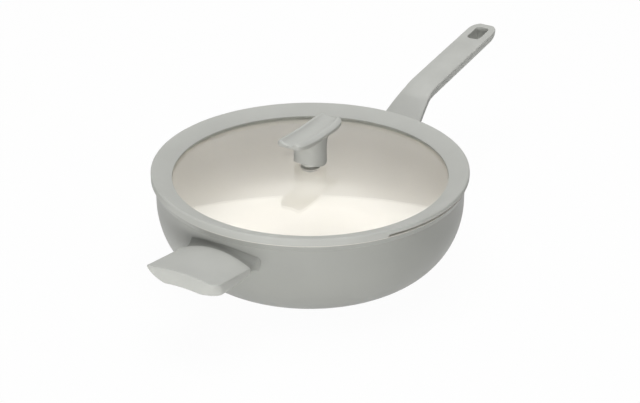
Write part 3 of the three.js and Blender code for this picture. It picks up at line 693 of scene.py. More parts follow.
def glass_height(radius):
    """Height of the dome's upper face at a radius, on a ball: crown - R + (R^2 - r^2) ^ 0.5."""
    return glass_crown - ball_radius + np.sqrt(ball_radius**2 - radius**2)


def dome(start, end, offset, steps=DOME_STEPS):
    """Points along the dome between two radii, moved up by an offset."""
    radius = np.linspace(start, end, steps)
    return np.stack([radius, glass_height(radius) + offset], axis=1)


def lid_glass():
    """The dome's two faces with a half round at the outer edge and at the hole."""
    half = GLASS_THICKNESS / 2
    turn = np.linspace(np.pi / 2, -np.pi / 2, 2 * ARC_STEPS)[1:-1]
    outer, inner = glass_radius - half, GLASS_HOLE + half / 2

    def half_round(radius, reach, rise):
        """Half an ellipse about the middle of the glass at a radius."""
        middle = glass_height(radius) - half
        return np.stack([radius + reach * np.cos(turn), middle + rise * np.sin(turn)], axis=1)

    edge = half_round(outer, half, half)
    hole = half_round(inner, -half / 2, -half)
    profile = np.vstack([dome(inner, outer, 0), edge, dome(outer, inner, -GLASS_THICKNESS), hole])
    return skin("lid_glass_skin", turned(profile), looped=True)


dress(lid_glass(), "lid", "clear_glass", glass)

# %% [markdown]
# The rim is moulded silicone that grips the glass. It is turned too, but its lower edge has a drain notch
# on the -Y side. A boolean could cut the notch and would leave its ends sharp. So the rim has two profiles
# with the same number of points, a plain and a notched one, and passes from one to the other by angle.

# %% Turn the soft rim
SKIRT_PLAY = 0.0008
LIP_COVER = 0.0069
LIP_THICKNESS = 0.0016
LEDGE_COVER = 0.0025
RIM_GROOVE_STEPS = 6
BAND_ROUND = 0.0016
SOFT_ROUND = 0.0007
FOOT_ROUND = 0.0004
NOTCH_HEIGHT = 0.0024
NOTCH_DEPTH = 0.0022
NOTCH_HALF_ANGLE = np.radians(31.0)
NOTCH_END = np.radians(0.9)  # the notch's ends rise over this angle
NOTCH_END_STEPS = 24


def rim_profile(notched):
    """The rim's closed section. A notched one has its foot raised and its skirt drawn in."""
    groove = glass_radius + SEAT
    lip, ledge = glass_radius - LIP_COVER, glass_radius - LEDGE_COVER
    skirt = inner_radius - SKIRT_PLAY - NOTCH_DEPTH * notched
    foot = lid_seat + NOTCH_HEIGHT * notched
    below = dome(ledge, groove, -GLASS_THICKNESS - SEAT, RIM_GROOVE_STEPS)
    above = dome(groove, lip, SEAT, RIM_GROOVE_STEPS)
    outside = rounded([
        (lip, above[-1, 1], 0),
        (lip, above[-1, 1] + LIP_THICKNESS, SOFT_ROUND),
        (lid_radius, lid_top, BAND_ROUND),
        (lid_radius, foot, FOOT_ROUND),
        (skirt, foot, 0),
        (skirt, ledge_foot, SOFT_ROUND),
        (ledge, ledge_foot, SOFT_ROUND),
        (ledge, below[0, 1], 0),
    ])
    return np.vstack([below, above, outside[1:-1]])


def lid_rim():
    """Rings that mix two profiles, a plain and a notched one. The share steps from 0 to 1 at the notch."""
    plain, notched = rim_profile(0), rim_profile(1)
    even = np.linspace(-np.pi, np.pi, ROUND_STEPS, endpoint=False)
    ends = np.linspace(-2 * NOTCH_END, 2 * NOTCH_END, NOTCH_END_STEPS)
    angles = np.unique(np.concatenate([even, NOTCH_HALF_ANGLE + ends, -NOTCH_HALF_ANGLE + ends]))
    inside = np.clip((NOTCH_HALF_ANGLE - np.abs(angles)) / NOTCH_END, 0, 1)
    share = ease(inside)[None, :, None]
    section = mix(plain[:, None], notched[:, None], share)
    rings = swept(section[..., 0], section[..., 1], angles - np.pi / 2)
    return skin("lid_rim_skin", rings, looped=True)


dress(lid_rim(), "lid", "rim_silicone", silicone)

# %% [markdown]
# ## The knob
#
# The knob is a bar like a small saddle on a round stem that widens into it. It could be two solids joined
# by a boolean, but then the crease between them stays hard. Here each direction round the axis has its own
# profile: up the stem, through a soft fillet, out along the bar's underside, round its edge and in over
# the top. Turning that profile through all directions gives the whole knob as one skin.

# %% Measure the knob
BAR_DEPTH = 0.0076
BAR_SADDLE = 0.0024
BAR_TROUGH = 0.0026
BAR_HOLLOW = 3.0
BAR_CREST = 0.625  # of the way from the middle to the side
BAR_FALL = 0.0025
BAR_END_RUN = 0.0025  # the top falls to each end over this length
BAR_END_HALF_WIDTH = 0.0025
BAR_OUTLINE = 5.0
BAR_BELLY = 3.0
BAR_SHOULDER = 0.0006
BAR_END_RISE = 0.0019
BAR_HALF_WIDTH = 0.0148
STEM_FLARE = 0.010
STEM_NARROW = 0.0016
STEM_ARCH = 0.0037
STEM_FILLET = 0.004
FILLET_SHARE = 0.5  # the most that the fillet takes of the way from the stem to the bar's edge
CREST_REACH = 0.98  # the most that the crest takes of the way to the bar's shoulder
INSERT_BORE = 0.0047
INSERT_TOP = 0.0138  # above the stem's foot

stem_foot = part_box("knob_grip")[0].z
bar_half_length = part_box("knob_grip")[1].x
stem_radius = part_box("knob_grip")[1].y
bar_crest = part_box("knob_grip")[1].z - BAR_SADDLE
stem_height = bar_crest - stem_foot - BAR_DEPTH / 2
boss_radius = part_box("knob_collar")[1].y
print("the knob's bar reaches", round(bar_half_length, 4), "m to each side")

# %% Work out the bar
HALVINGS = 44


def narrowing(x):
    """How much of its width the bar keeps at x: (1 - |x / half length| ^ n) ^ (1 / n)."""
    along = np.clip(np.abs(x) / bar_half_length, 0, 1)
    return (1 - along**BAR_OUTLINE) ** (1 / BAR_OUTLINE)


def bar_half(x):
    return mix(BAR_END_HALF_WIDTH, BAR_HALF_WIDTH, narrowing(x))


def crest_height(x):
    return bar_crest + BAR_SADDLE * (x / bar_half_length) ** 2


def bar_top(x, y):
    """Top of the bar: a hollow of depth * (1 - (y / crest) ^ n) between two crests that stay crisp, and
    outside them a parabola that falls to each side and, close to it, to each end."""
    across = np.abs(y) / bar_half(x)
    ending = 1 - (1 - BAR_CREST) * (bar_half_length - np.abs(x)) / BAR_END_RUN
    outer = np.maximum(across, ending)
    hollow = BAR_TROUGH * narrowing(x) * (1 - np.minimum(across / BAR_CREST, 1) ** BAR_HOLLOW)
    fall = BAR_FALL * (np.maximum(outer - BAR_CREST, 0) / (1 - BAR_CREST)) ** 2
    return crest_height(x) - hollow - fall


def solve(inside, low, high):
    """The largest value for which inside is still true, by halving the span again and again."""
    for _ in range(HALVINGS):
        middle = (low + high) / 2
        good = inside(middle)
        low, high = np.where(good, middle, low), np.where(good, high, middle)
    return low


print("the middle of the bar is", round(bar_top(0, 0), 4), "m high")

# %% Turn the knob
KNOB_STEPS = 320
STEM_RINGS = 30
FILLET_RINGS = 12
BELLY_RINGS = 28
CREST_RINGS = 16
HOLLOW_RINGS = 40


def knob_rings():
    """Profiles in every direction a: points at radius r and height z, so x = r cos a and y = r sin a."""
    turn = full_turn(KNOB_STEPS)
    angle = np.arctan2(BAR_HALF_WIDTH * np.sin(turn), bar_half_length * np.cos(turn))
    c, s = np.cos(angle), np.sin(angle)
    zero = np.zeros(KNOB_STEPS)
    edge = solve(
        lambda r: (np.abs(r * s) < bar_half(r * c)) & (np.abs(r * c) < bar_half_length),
        zero,
        zero + 2 * bar_half_length,
    )
    shoulder = edge - BAR_SHOULDER
    crest = solve(lambda r: np.abs(r * s) < BAR_CREST * bar_half(r * c), zero, edge)
    crest = np.minimum(crest, CREST_REACH * shoulder)
    side = bar_top(edge * c, edge * s) - BAR_SHOULDER
    power = BAR_BELLY * edge / BAR_HALF_WIDTH

    def stem(up):
        """Radius and height on the stem: an ellipse that grows with up ^ 3, over an arched foot."""
        long, wide = stem_radius + STEM_FLARE * up**3, stem_radius - STEM_NARROW * up
        radius = long * wide / np.hypot(wide * c, long * s)
        return radius, stem_foot + up * stem_height + STEM_ARCH * (1 - up) * c**2

    def belly(swing):
        """Radius and height under the bar: (r / edge) ^ n + (fall / depth) ^ n = 1."""
        radius = edge * np.sin(swing) ** (2 / power)
        x = radius * c
        under = crest_height(x) - BAR_DEPTH + BAR_END_RISE * (1 - narrowing(x))
        return radius, mix(side, under, np.cos(swing) ** (2 / power))

    def belly_swing(radius):
        return np.arcsin(np.clip(radius / edge, 0, 1) ** (power / 2))

    def below_bar(up):
        radius, height = stem(up)
        return (radius < edge) & (height < belly(belly_swing(radius))[1])

    def top(radius):
        """Radius and height on the bar's top."""
        return radius, bar_top(radius * c, radius * s)

    contact = solve(below_bar, zero, zero + 1)
    corner = stem(contact)
    soft = np.minimum(STEM_FILLET, FILLET_SHARE * (edge - corner[0]))
    leave = np.maximum(contact - soft / stem_height, 0)
    meet = belly_swing(corner[0] + soft)
    fillet = shares(FILLET_RINGS)[1:-1]
    swing = quarter_turn(ARC_STEPS)[1:, None]
    parts = [
        (zero + INSERT_BORE, zero + stem_foot + INSERT_TOP),
        (zero + INSERT_BORE, zero + stem_foot),
        (zero + boss_radius, zero + stem_foot),
        (zero + boss_radius, stem_foot + np.maximum(STEM_ARCH * c**2, FINE_ROUND)),
        stem(shares(STEM_RINGS) * leave),
        [curve(*points, fillet) for points in zip(stem(leave), corner, belly(meet))],
        belly(mix(meet, np.pi / 2, shares(BELLY_RINGS))),
        (edge - BAR_SHOULDER * (1 - np.cos(swing)), mix(side, top(shoulder)[1], np.sin(swing))),
        top(mix(shoulder, crest, shares(CREST_RINGS)[1:])),
        top(mix(crest, 0, shares(HOLLOW_RINGS)[1:-1])),
    ]
    radius, height = (np.vstack([np.atleast_2d(part[i]) for part in parts]) for i in (0, 1))
    return swept(radius, height, angle)


dress(skin("knob_grip_skin", knob_rings()), "lid", "grip_plastic", grip_plastic)

# %% [markdown]
# Under the stem sits a soft collar, under the glass a gasket and a washer, and in the stem a threaded
# insert. They are small turned rings, so one function makes all of them in the places of the frame's nodes.

# %% Turn the small rings
HOLE_PLAY = 0.0006
KNOB_SCREW_RADIUS = 0.0024
INSERT_PLAY = 0.0003
COLLAR_ROUND = 0.0008
GASKET_ROUND = 0.0004
INSERT_ROUND = 0.0003
WASHER_ROUND = 0.0002


def ring_section(bore, radius, foot, head, edge_round):
    """A ring's section between two radii and two heights, with rounded corners."""
    corners = [(bore, foot), (radius, foot), (radius, head), (bore, head)]
    return rounded([(*corner, edge_round) for corner in corners])


def washer(node, bore, edge_round):
    """A ring with rounded edges in the place of a node, with a bore of the given radius."""
    low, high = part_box(node)
    section = ring_section(bore, high.y, low.z, high.z, edge_round)
    return skin(node + "_skin", turned(section, SMALL_STEPS), looped=True)


screw_hole = KNOB_SCREW_RADIUS + HOLE_PLAY
# the collar and the gasket take the pale seal finish, which is painted light that brightens the collar in
# the stem's shade
dress(washer("knob_collar", screw_hole, COLLAR_ROUND), "lid", "rim_silicone", painted_light_seal)
dress(washer("knob_gasket", screw_hole, GASKET_ROUND), "lid", "rim_silicone", painted_light_seal)
dress(washer("knob_washer", screw_hole, WASHER_ROUND), "lid", "steel", steel)
insert_bore = KNOB_SCREW_RADIUS + INSERT_PLAY
dress(washer("knob_insert", insert_bore, INSERT_ROUND), "lid", "brass", brass)

# %% [markdown]
# A screw has a head with a cross recess and a thread. The thread could be swept along a helix and joined
# to the shank. Here the shank's radius follows the angle as well as the height, so each screw is one skin.

# %% Turn the screws
THREAD_PITCH = 0.0008
THREAD_DEPTH = 0.00035
THREAD_RINGS = 120
HEAD_RINGS = 40
HEAD_START = 0.04  # of the head's radius, as are the next four
RECESS_REACH = 0.55
RECESS_END = 0.1
RECESS_HALF_WIDTH = 0.16
RECESS_WALL = 0.05
RECESS_DEPTH = 0.0011
HEAD_CROWN = 0.35  # of the head's height
HEAD_POWER = 4
HEAD_ROUND = 0.0002


def screw_rings(head_radius, head_height, radius, length):
    """A screw that stands on its head at z = 0. The head's face is a dome with a cross pressed into it,
    and the shank's radius falls by depth * |2 frac(z / pitch - a / 2 pi) - 1|, which is a thread."""
    turn = full_turn(SMALL_STEPS)
    out = mix(HEAD_START, 1, shares(HEAD_RINGS)) + 0 * turn
    arms = np.abs([out * np.cos(turn), out * np.sin(turn)])
    within = np.clip((RECESS_HALF_WIDTH - arms.min(axis=0)) / RECESS_WALL, 0, 1)
    before = np.clip((RECESS_REACH - arms.max(axis=0)) / RECESS_END, 0, 1)
    crown = HEAD_CROWN * head_height
    face = crown * out**HEAD_POWER + RECESS_DEPTH * within * before
    neck = rounded([
        (head_radius, crown, 0),
        (head_radius, head_height, HEAD_ROUND),
        (radius, head_height, 0),
        (radius, head_height + THREAD_PITCH, 0),
    ])[1:]
    height = mix(head_height + THREAD_PITCH, length, shares(THREAD_RINGS)[1:]) + 0 * turn
    fade = np.clip((length - height) / THREAD_PITCH, 0, 1)
    wave = np.abs(2 * np.mod(height / THREAD_PITCH - turn / (2 * np.pi), 1) - 1)
    thread = radius - THREAD_DEPTH * mix(2, wave, fade)
    radii = np.vstack([head_radius * out, neck[:, :1] + 0 * turn, thread])
    return swept(radii, np.vstack([face, neck[:, 1:] + 0 * turn, height]), turn)


def upright_screw(node, head_height, radius):
    """A screw along Z in the place of a node, with its head below."""
    low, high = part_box(node)
    head_radius = (high.y - low.y) / 2
    rings = screw_rings(head_radius, head_height, radius, high.z - low.z)
    middle = ((low.x + high.x) / 2, (low.y + high.y) / 2, low.z)
    return skin(node + "_skin", rings + np.array(middle))


KNOB_SCREW_HEAD = 0.0026
HELPER_SCREW_RADIUS = 0.0019
HELPER_SCREW_HEAD = 0.002
dress(upright_screw("knob_screw", KNOB_SCREW_HEAD, KNOB_SCREW_RADIUS), "lid", "steel", headed_steel)
for side_name in ("left", "right"):
    helper_screw = upright_screw(f"helper_screw_{side_name}", HELPER_SCREW_HEAD, HELPER_SCREW_RADIUS)
    dress(helper_screw, "pan", "steel", headed_steel)

# %% [markdown]
# ## The grips
#
# The grips are moulded. A grip is a row of slices, each with a crowned top, rounded shoulders and an
# underside, and one function works out all slices of a grip at once. A bevelled curve would be less work,
# but its outline stays the same all along, while a grip is wide in one place and deep in another.

# %% Work out slices of a grip
TOP_POINTS = 33
SHOULDER_POINTS = 6
BELLY_POINTS = 61
FLANK_POINTS = 18
SOLE_POINTS = 25
SOLE_ROUND = 0.0012
FACE_RINGS = 14


def column(values):
    """Values as a column, with one row for each slice."""
    return np.reshape(values, (-1, 1))


def oval_under(shape):
    """Underside |y / half| ^ n + |z / depth| ^ n = 1, where n is 2 for an ellipse and larger for a box."""
    low, high, top, power = (shape[key] for key in ("low", "high", "top", "belly"))
    swing = np.linspace(0, np.pi, BELLY_POINTS)
    across = np.sign(np.cos(swing)) * np.abs(np.cos(swing)) ** (2 / power)
    y = mix(low, high, (1 + across) / 2)
    flank = mix(top(low), top(high), (1 + across) / 2) - shape["shoulder"]
    return np.stack([y, mix(flank, shape["bottom"](y, across), np.sin(swing) ** (2 / power))])


def leaning_under(shape):
    """Underside with flanks that lean in on their way down, a sole between them and rounded corners."""
    low, high, top, bottom = (shape[key] for key in ("low", "high", "top", "bottom"))

    def flank(side, across):
        """The flank from its shoulder to the start of the rounding, and the corner itself."""
        head = top(side) - shape["shoulder"]
        deep = head - bottom(side, across)
        down = np.linspace(0, 1, FLANK_POINTS) * (deep - np.minimum(SOLE_ROUND, deep / 2))
        ways = (down, deep)
        return [np.stack([side - across * shape["lean"](across, way), head - way]) for way in ways]

    (first, first_corner), (last, last_corner) = flank(high, 1), flank(low, -1)
    start, end = first_corner[0], last_corner[0]
    y = mix(start - SOLE_ROUND, end + SOLE_ROUND, np.linspace(0, 1, SOLE_POINTS))
    sole = np.stack([y, bottom(y, 1 - 2 * (start - y) / (start - end))])
    t = np.linspace(0, 1, SHOULDER_POINTS + 2)[1:-1]
    return np.concatenate([
        first,
        curve(first[..., -1:], first_corner, sole[..., :1], t),
        sole,
        curve(sole[..., -1:], last_corner, last[..., -1:], t),
        last[..., ::-1],
    ], axis=-1)


def grip_rings(x, shape):
    """Rings of a grip, one for each x: a top, two shoulders that are quarter ellipses, and an underside."""
    low, high, top, shoulder = (shape[key] for key in ("low", "high", "top", "shoulder"))
    turn = quarter_turn(SHOULDER_POINTS + 2)[1:-1]

    def round_off(edge, inward, turn):
        y = edge + inward * shoulder
        fall = top(y) - top(edge) + shoulder
        return np.stack([y - inward * shoulder * np.sin(turn), top(edge) - shoulder + fall * np.cos(turn)])

    y_top = mix(low + shoulder, high - shoulder, np.linspace(0, 1, TOP_POINTS))
    y, z = np.concatenate([
        np.stack([y_top, top(y_top)]),
        round_off(high, -1, turn),
        shape["under"](shape),
        round_off(low, 1, turn[::-1]),
    ], axis=-1)
    return np.stack([column(x) + 0 * y, y, z], axis=-1)


def end_inset(run, length, rounding):
    """How far a slice is drawn in near an end at the given length, so that the end's edge is rounded."""
    past = np.clip(run - length + rounding, 0, rounding)
    return rounding - np.sqrt(rounding**2 - past**2)


def closing(outline):
    """Rings between an outline and its middle, which shut an end evenly."""
    middle = outline.mean(axis=0)
    return mix(outline, middle, shares(FACE_RINGS)[1:-1, None])


print("a slice with an oval underside has", TOP_POINTS + 2 * SHOULDER_POINTS + BELLY_POINTS, "points")

# %% [markdown]
# Inside each grip lies the tongue of a bracket, held by screws from below. So a grip gets a socket, wells
# for the screw heads and bores for the screws, all taken out with plain cutting tools.

# %% Make cutting tools
CUT_REACH = 0.06


def bar(start, end, half_width, thickness):
    """A flat bar along X between two upright faces, whose middles are given as x and z."""
    sides = [(-1, -1), (1, -1), (1, 1), (-1, 1)]
    faces = [[(x, s * half_width, z + u * thickness / 2) for s, u in sides] for x, z in (start, end)]
    return skin("bar", np.array(faces))


def drill(radius, foot, head, place, slope=0.0):
    """A cylinder between two heights above a place, about an upright that is tilted by a slope."""
    profile = np.array([(radius, foot), (radius, head)])
    return skin("drill", tilted(turned(profile, SMALL_STEPS), place, slope))


print("tools reach", CUT_REACH, "m out of a piece")

# %% [markdown]
# The long handle follows a line that swings up from the wall in an S-bend and then runs straight. Its
# underside is oval, for the palm. Near the tip is a hole to hang it up by, with walls that lean in a
# little, because a moulded piece needs some slope to leave its mould.

# %% Measure the long handle
HANDLE_ROOT_HEIGHT = 0.067
HANDLE_BEND_LENGTH = 0.064
HANDLE_BEND_RISE = 0.0324
HANDLE_BEND_REACH = 0.021
HANDLE_ROOT_SLOPE = np.radians(27.8)
HANDLE_GRIP_SLOPE = np.radians(7.7)
HANDLE_HALF_WIDTH = 0.0154
HANDLE_FLARE = 0.051
HANDLE_DEPTH = 0.016
HANDLE_ROOT_DEPTH = 0.025
HANDLE_CROWN = 0.0026
HANDLE_CROWN_FADE = 0.040
HANDLE_SHOULDER = 0.0012
HANDLE_BELLY = 2.2
HANDLE_TIP_ROUND = 0.016
HANDLE_TIP_LEAST = 0.004
HANDLE_END_ROUND = 0.0015

handle_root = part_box("long_handle")[0].x
handle_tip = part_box("long_handle")[1].x
root_half_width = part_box("long_handle")[1].y
bend_end = handle_root + HANDLE_BEND_LENGTH
bend_top = HANDLE_ROOT_HEIGHT + HANDLE_BEND_RISE

HOLE_LENGTH = 0.0275
HOLE_WIDTH = 0.0145
HOLE_ROUND = 0.0045
HOLE_LIP = 0.0006
HOLE_REACH = 0.03
HOLE_DRAFT = 0.06  # how much each wall leans in on the way down, for the mould to come out
HOLE_END_WALL = 0.0077
hole_middle = handle_tip - HOLE_END_WALL - HOLE_LENGTH / 2
print("the long handle reaches", round(handle_tip, 3), "m from the axis")

# %% Shape the long handle
BEND_SLICES = 70
GRIP_SLICES = 60
TIP_SLICES = 40
HOLE_CORNER_POINTS = 10
HOLE_LIP_RINGS = 9


def grip_line(x):
    """Height of the straight grip's top edges at x."""
    return bend_top + (x - bend_end) * np.tan(HANDLE_GRIP_SLOPE)


def handle_line():
    """Places along the handle and its top edges' heights: a cubic Bezier bend, then a straight grip."""
    t = np.linspace(0, 1, BEND_SLICES)
    reach = HANDLE_BEND_REACH
    xs = (handle_root, handle_root + reach * np.cos(HANDLE_ROOT_SLOPE), bend_end - reach, bend_end)
    root_pull = HANDLE_ROOT_HEIGHT + reach * np.sin(HANDLE_ROOT_SLOPE)
    zs = (HANDLE_ROOT_HEIGHT, root_pull, bend_top - reach * np.tan(HANDLE_GRIP_SLOPE), bend_top)
    weights = np.stack([(1 - t) ** 3, 3 * t * (1 - t) ** 2, 3 * t**2 * (1 - t), t**3])
    tip_start = handle_tip - HANDLE_TIP_ROUND
    tip = tip_start + HANDLE_TIP_ROUND * np.sin(quarter_turn(TIP_SLICES))
    straight = np.concatenate([np.linspace(bend_end, tip_start, GRIP_SLICES)[1:], tip[1:]])
    return np.concatenate([xs @ weights, straight]), np.concatenate([zs @ weights, grip_line(straight)])


def handle_shape(x, edge):
    """The handle's slices at x: wide and deep at the root, and drawn in to a rounded tip."""
    x, edge = column(x), column(edge)
    flare = np.maximum(0, 1 - (x - handle_root) / HANDLE_FLARE)
    tip = np.clip(1 - (handle_tip - x) / HANDLE_TIP_ROUND, 0, 1)
    draw = np.sqrt(1 - tip**2)
    half = mix(HANDLE_HALF_WIDTH, root_half_width, flare)
    depth = mix(HANDLE_DEPTH, HANDLE_ROOT_DEPTH, flare)
    least = HANDLE_TIP_LEAST
    inset = end_inset(x, handle_tip, HANDLE_END_ROUND) + end_inset(-x, -handle_root, FINE_ROUND)
    side = mix(least, half, draw) - inset
    ahead = np.clip((hole_middle - HOLE_LENGTH / 2 - x) / HANDLE_CROWN_FADE, 0, 1)
    crown = HANDLE_CROWN * ease(ahead)
    foot = edge - mix(least, depth, (1 + draw) / 2) + inset
    return {
        "low": -side,
        "high": side,
        "top": lambda y: edge - inset + crown * (1 - (y / side) ** 2),
        "bottom": lambda y, across: foot + 0 * y,
        "shoulder": HANDLE_SHOULDER,
        "under": oval_under,
        "belly": HANDLE_BELLY,
    }


def hang_hole():
    """A rounded slot, square to the grip, that flares into a soft lip where it meets the handle's top. Its
    half sizes shrink by draft * depth below that."""
    corner = (np.arange(4)[:, None] * np.pi / 2 + quarter_turn(HOLE_CORNER_POINTS)).ravel()
    quadrant = np.repeat([(1, 1), (-1, 1), (-1, -1), (1, -1)], HOLE_CORNER_POINTS, axis=0)
    lip = quarter_turn(HOLE_LIP_RINGS)
    height = column(np.concatenate([[-HOLE_REACH], -HOLE_LIP + HOLE_LIP * np.sin(lip), [HOLE_REACH]]))
    round_corner = HOLE_ROUND + column(np.concatenate([[0], HOLE_LIP * (1 - np.cos(lip)), [HOLE_LIP]]))
    shrink = HOLE_ROUND + HOLE_DRAFT * np.maximum(-height, 0)
    x = round_corner * np.cos(corner) + quadrant[:, 0] * (HOLE_LENGTH / 2 - shrink)
    y = round_corner * np.sin(corner) + quadrant[:, 1] * (HOLE_WIDTH / 2 - shrink)
    place = (hole_middle, 0, grip_line(hole_middle))
    return skin("hang_hole", tilted(np.stack([x, y, height + 0 * x], axis=-1), place, HANDLE_GRIP_SLOPE))


print("slices in the long handle:", len(handle_line()[0]))

# %% Cut and dress the long handle
HANDLE_TONGUE_LENGTH = 0.032
HANDLE_TONGUE_HALF_WIDTH = 0.013
HANDLE_TONGUE_THICKNESS = 0.006
HANDLE_TONGUE_DROP = 0.0105
HANDLE_TONGUE_SLOPE = np.radians(32.0)
HANDLE_SCREW_INSET = 0.020
HANDLE_SCREW_RADIUS = 0.002
HANDLE_SCREW_HEAD_RADIUS = 0.0044
HANDLE_SCREW_HEAD = 0.0022
HANDLE_SCREW_FLOOR = 0.002
HANDLE_WASHER_THICKNESS = 0.0009

tongue_rise = np.tan(HANDLE_TONGUE_SLOPE)
tongue_root = HANDLE_ROOT_HEIGHT - HANDLE_TONGUE_DROP
handle_screw_place = (handle_root + HANDLE_SCREW_INSET, 0, tongue_root + HANDLE_SCREW_INSET * tongue_rise)
handle_screw_seat = -HANDLE_TONGUE_THICKNESS / 2 - SEAT - HANDLE_SCREW_FLOOR
handle_washer_foot = handle_screw_seat - SEAT - HANDLE_WASHER_THICKNESS
handle_screw_foot = handle_washer_foot - SEAT - HANDLE_SCREW_HEAD


def handle_tongue(play):
    """The bracket's tongue in the handle, made larger by some play for its socket."""
    back, reach = (wall_radius - handle_root) / 2, HANDLE_TONGUE_LENGTH + play
    ends = [(handle_root + run, tongue_root + run * tongue_rise) for run in (back, reach)]
    thickness = (HANDLE_TONGUE_THICKNESS + 2 * play) / np.cos(HANDLE_TONGUE_SLOPE)
    return bar(*ends, HANDLE_TONGUE_HALF_WIDTH + play, thickness)


def handle_drill(radius, foot, head):
    return drill(radius, foot, head, handle_screw_place, HANDLE_TONGUE_SLOPE)


def long_handle():
    x, edge = handle_line()
    blank = skin("long_handle_skin", grip_rings(x, handle_shape(x, edge)))
    well_radius = HANDLE_SCREW_HEAD_RADIUS + HOLE_PLAY
    well = handle_drill(well_radius, handle_screw_foot - CUT_REACH, handle_screw_seat)
    bore = handle_drill(HANDLE_SCREW_RADIUS + HOLE_PLAY, handle_screw_foot, 0)
    return cut(blank, hang_hole(), handle_tongue(SEAT), well, bore)


def on_tongue(rings):
    """Rings that stand on the level z = 0, set square onto the handle's tongue."""
    return tilted(rings, handle_screw_place, HANDLE_TONGUE_SLOPE)


def handle_screw():
    length = HANDLE_TONGUE_THICKNESS / 2 - handle_screw_foot
    rings = screw_rings(HANDLE_SCREW_HEAD_RADIUS, HANDLE_SCREW_HEAD, HANDLE_SCREW_RADIUS, length)
    return skin("handle_screw_skin", on_tongue(rings + np.array([0, 0, handle_screw_foot])))


def handle_washer():
    foot, head = handle_washer_foot, handle_washer_foot + HANDLE_WASHER_THICKNESS
    section = ring_section(HANDLE_SCREW_RADIUS + SEAT, HANDLE_SCREW_HEAD_RADIUS, foot, head, WASHER_ROUND)
    return skin("handle_washer_skin", on_tongue(turned(section, SMALL_STEPS)), looped=True)


dress(long_handle(), "pan", "grip_plastic", grip_plastic)
dress(handle_screw(), "pan", "steel", headed_steel)
dress(handle_washer(), "pan", "steel", headed_steel)

# %% [markdown]
# The helper grip is short and broad. Its sides and its end lean in towards a slightly hollow sole, which
# lets it leave its mould. The end face is closed with rings and not with one fan, so that it can lean too.

# %% Measure the helper grip
HELPER_RIDGE_HEIGHT = 0.0755
HELPER_RISE = 0.0011
HELPER_ROOT_THICKNESS = 0.0155
HELPER_END_THICKNESS = 0.020
HELPER_ROOT_CROWN = 0.0087
HELPER_END_CROWN = 0.0036
HELPER_HOLLOW = 0.001
HELPER_SHOULDER = 0.001
HELPER_LEAN = 0.006
HELPER_LEAN_DEPTH = 0.017
HELPER_LEAN_POWER = 1.6
HELPER_NEAR_CORNER = 0.009
HELPER_FAR_CORNER = 0.002
HELPER_CORNER_GROWTH = 0.010
HELPER_EDGE_ROUND = 0.0008
HELPER_LEAN_RUN = 0.020  # the end's lean fades out over this length

helper_low, helper_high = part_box("helper_grip")
helper_root = -helper_high.x
helper_length = -helper_low.x - helper_root
helper_half_width = helper_high.y
print("the helper grip is", round(helper_length, 4), "m long")

# %% Shape the helper grip
HELPER_SLICES = 40
EDGE_SLICES = 24


def helper_top(run, y):
    """Height of the crowned top at a run from the root: ridge - crown * (y / half width)^2."""
    share = run / helper_length
    crown = mix(HELPER_ROOT_CROWN, HELPER_END_CROWN, share)
    return HELPER_RIDGE_HEIGHT + HELPER_RISE * share - crown * (y / helper_half_width) ** 2


def lean_in(down):
    """How far the sides and the end have drawn in at a depth: lean * (depth / lean depth) ^ power."""
    return HELPER_LEAN * (np.maximum(down, 0) / HELPER_LEAN_DEPTH) ** HELPER_LEAN_POWER


def helper_shape(run):
    """The helper's slices at a run from its root. Each outer corner has its own rounding, which grows on
    the way down to the sole."""
    run = column(run)
    inset = end_inset(run, helper_length, HELPER_EDGE_ROUND) + end_inset(-run, 0, FINE_ROUND)
    thickness = mix(HELPER_ROOT_THICKNESS, HELPER_END_THICKNESS, run / helper_length)
    sole = helper_top(run, 0) - thickness + inset

    def side(corner):
        past = np.clip(run - helper_length + corner, 0, corner)
        return helper_half_width - corner + np.sqrt(corner**2 - past**2)

    def lean(across, down):
        corner = HELPER_NEAR_CORNER if across < 0 else HELPER_FAR_CORNER
        grown = corner + HELPER_CORNER_GROWTH * np.maximum(down, 0) / HELPER_LEAN_DEPTH
        return side(corner) - side(grown) + lean_in(down)

    return {
        "low": inset - side(HELPER_NEAR_CORNER),
        "high": side(HELPER_FAR_CORNER) - inset,
        "top": lambda y: helper_top(run, y) - inset,
        "bottom": lambda y, across: sole + HELPER_HOLLOW * (1 - across**2),
        "shoulder": HELPER_SHOULDER,
        "under": leaning_under,
        "lean": lean,
    }


def helper_runs():
    """Runs from root to end, closer together in the rounded root edge, corners and outer edge."""
    corner = helper_length - HELPER_NEAR_CORNER
    edge = helper_length - HELPER_EDGE_ROUND
    bend = np.sin(quarter_turn(EDGE_SLICES))
    return np.concatenate([
        FINE_ROUND * (1 - bend[::-1]),
        np.linspace(FINE_ROUND, corner, HELPER_SLICES)[1:],
        mix(corner, edge, bend)[1:],
        (edge + HELPER_EDGE_ROUND * bend)[1:],
    ])


def helper_rings():
    """Slices, and after them rings that shrink to the middle of the end face. Towards the end all of them
    are pushed in by lean_in of their depth, so that the end leans as the sides do."""
    runs = helper_runs()
    slices = grip_rings(runs, helper_shape(runs))
    run, y, z = np.moveaxis(np.concatenate([slices, closing(slices[-1])]), -1, 0)
    late = np.clip(1 - (helper_length - run) / HELPER_LEAN_RUN, 0, 1)
    push = ease(late) * lean_in(helper_top(run, y) - HELPER_SHOULDER - z)
    return np.stack([push - run - helper_root, y, z], axis=-1)


print("rings in the helper grip:", len(helper_rings()))

# %% Cut and dress the helper grip
HELPER_TONGUE_LENGTH = 0.034
HELPER_TONGUE_HALF_WIDTH = 0.018
HELPER_TONGUE_THICKNESS = 0.0055
HELPER_TONGUE_DROP = 0.0098
HELPER_SCREW_FLOOR = 0.0016

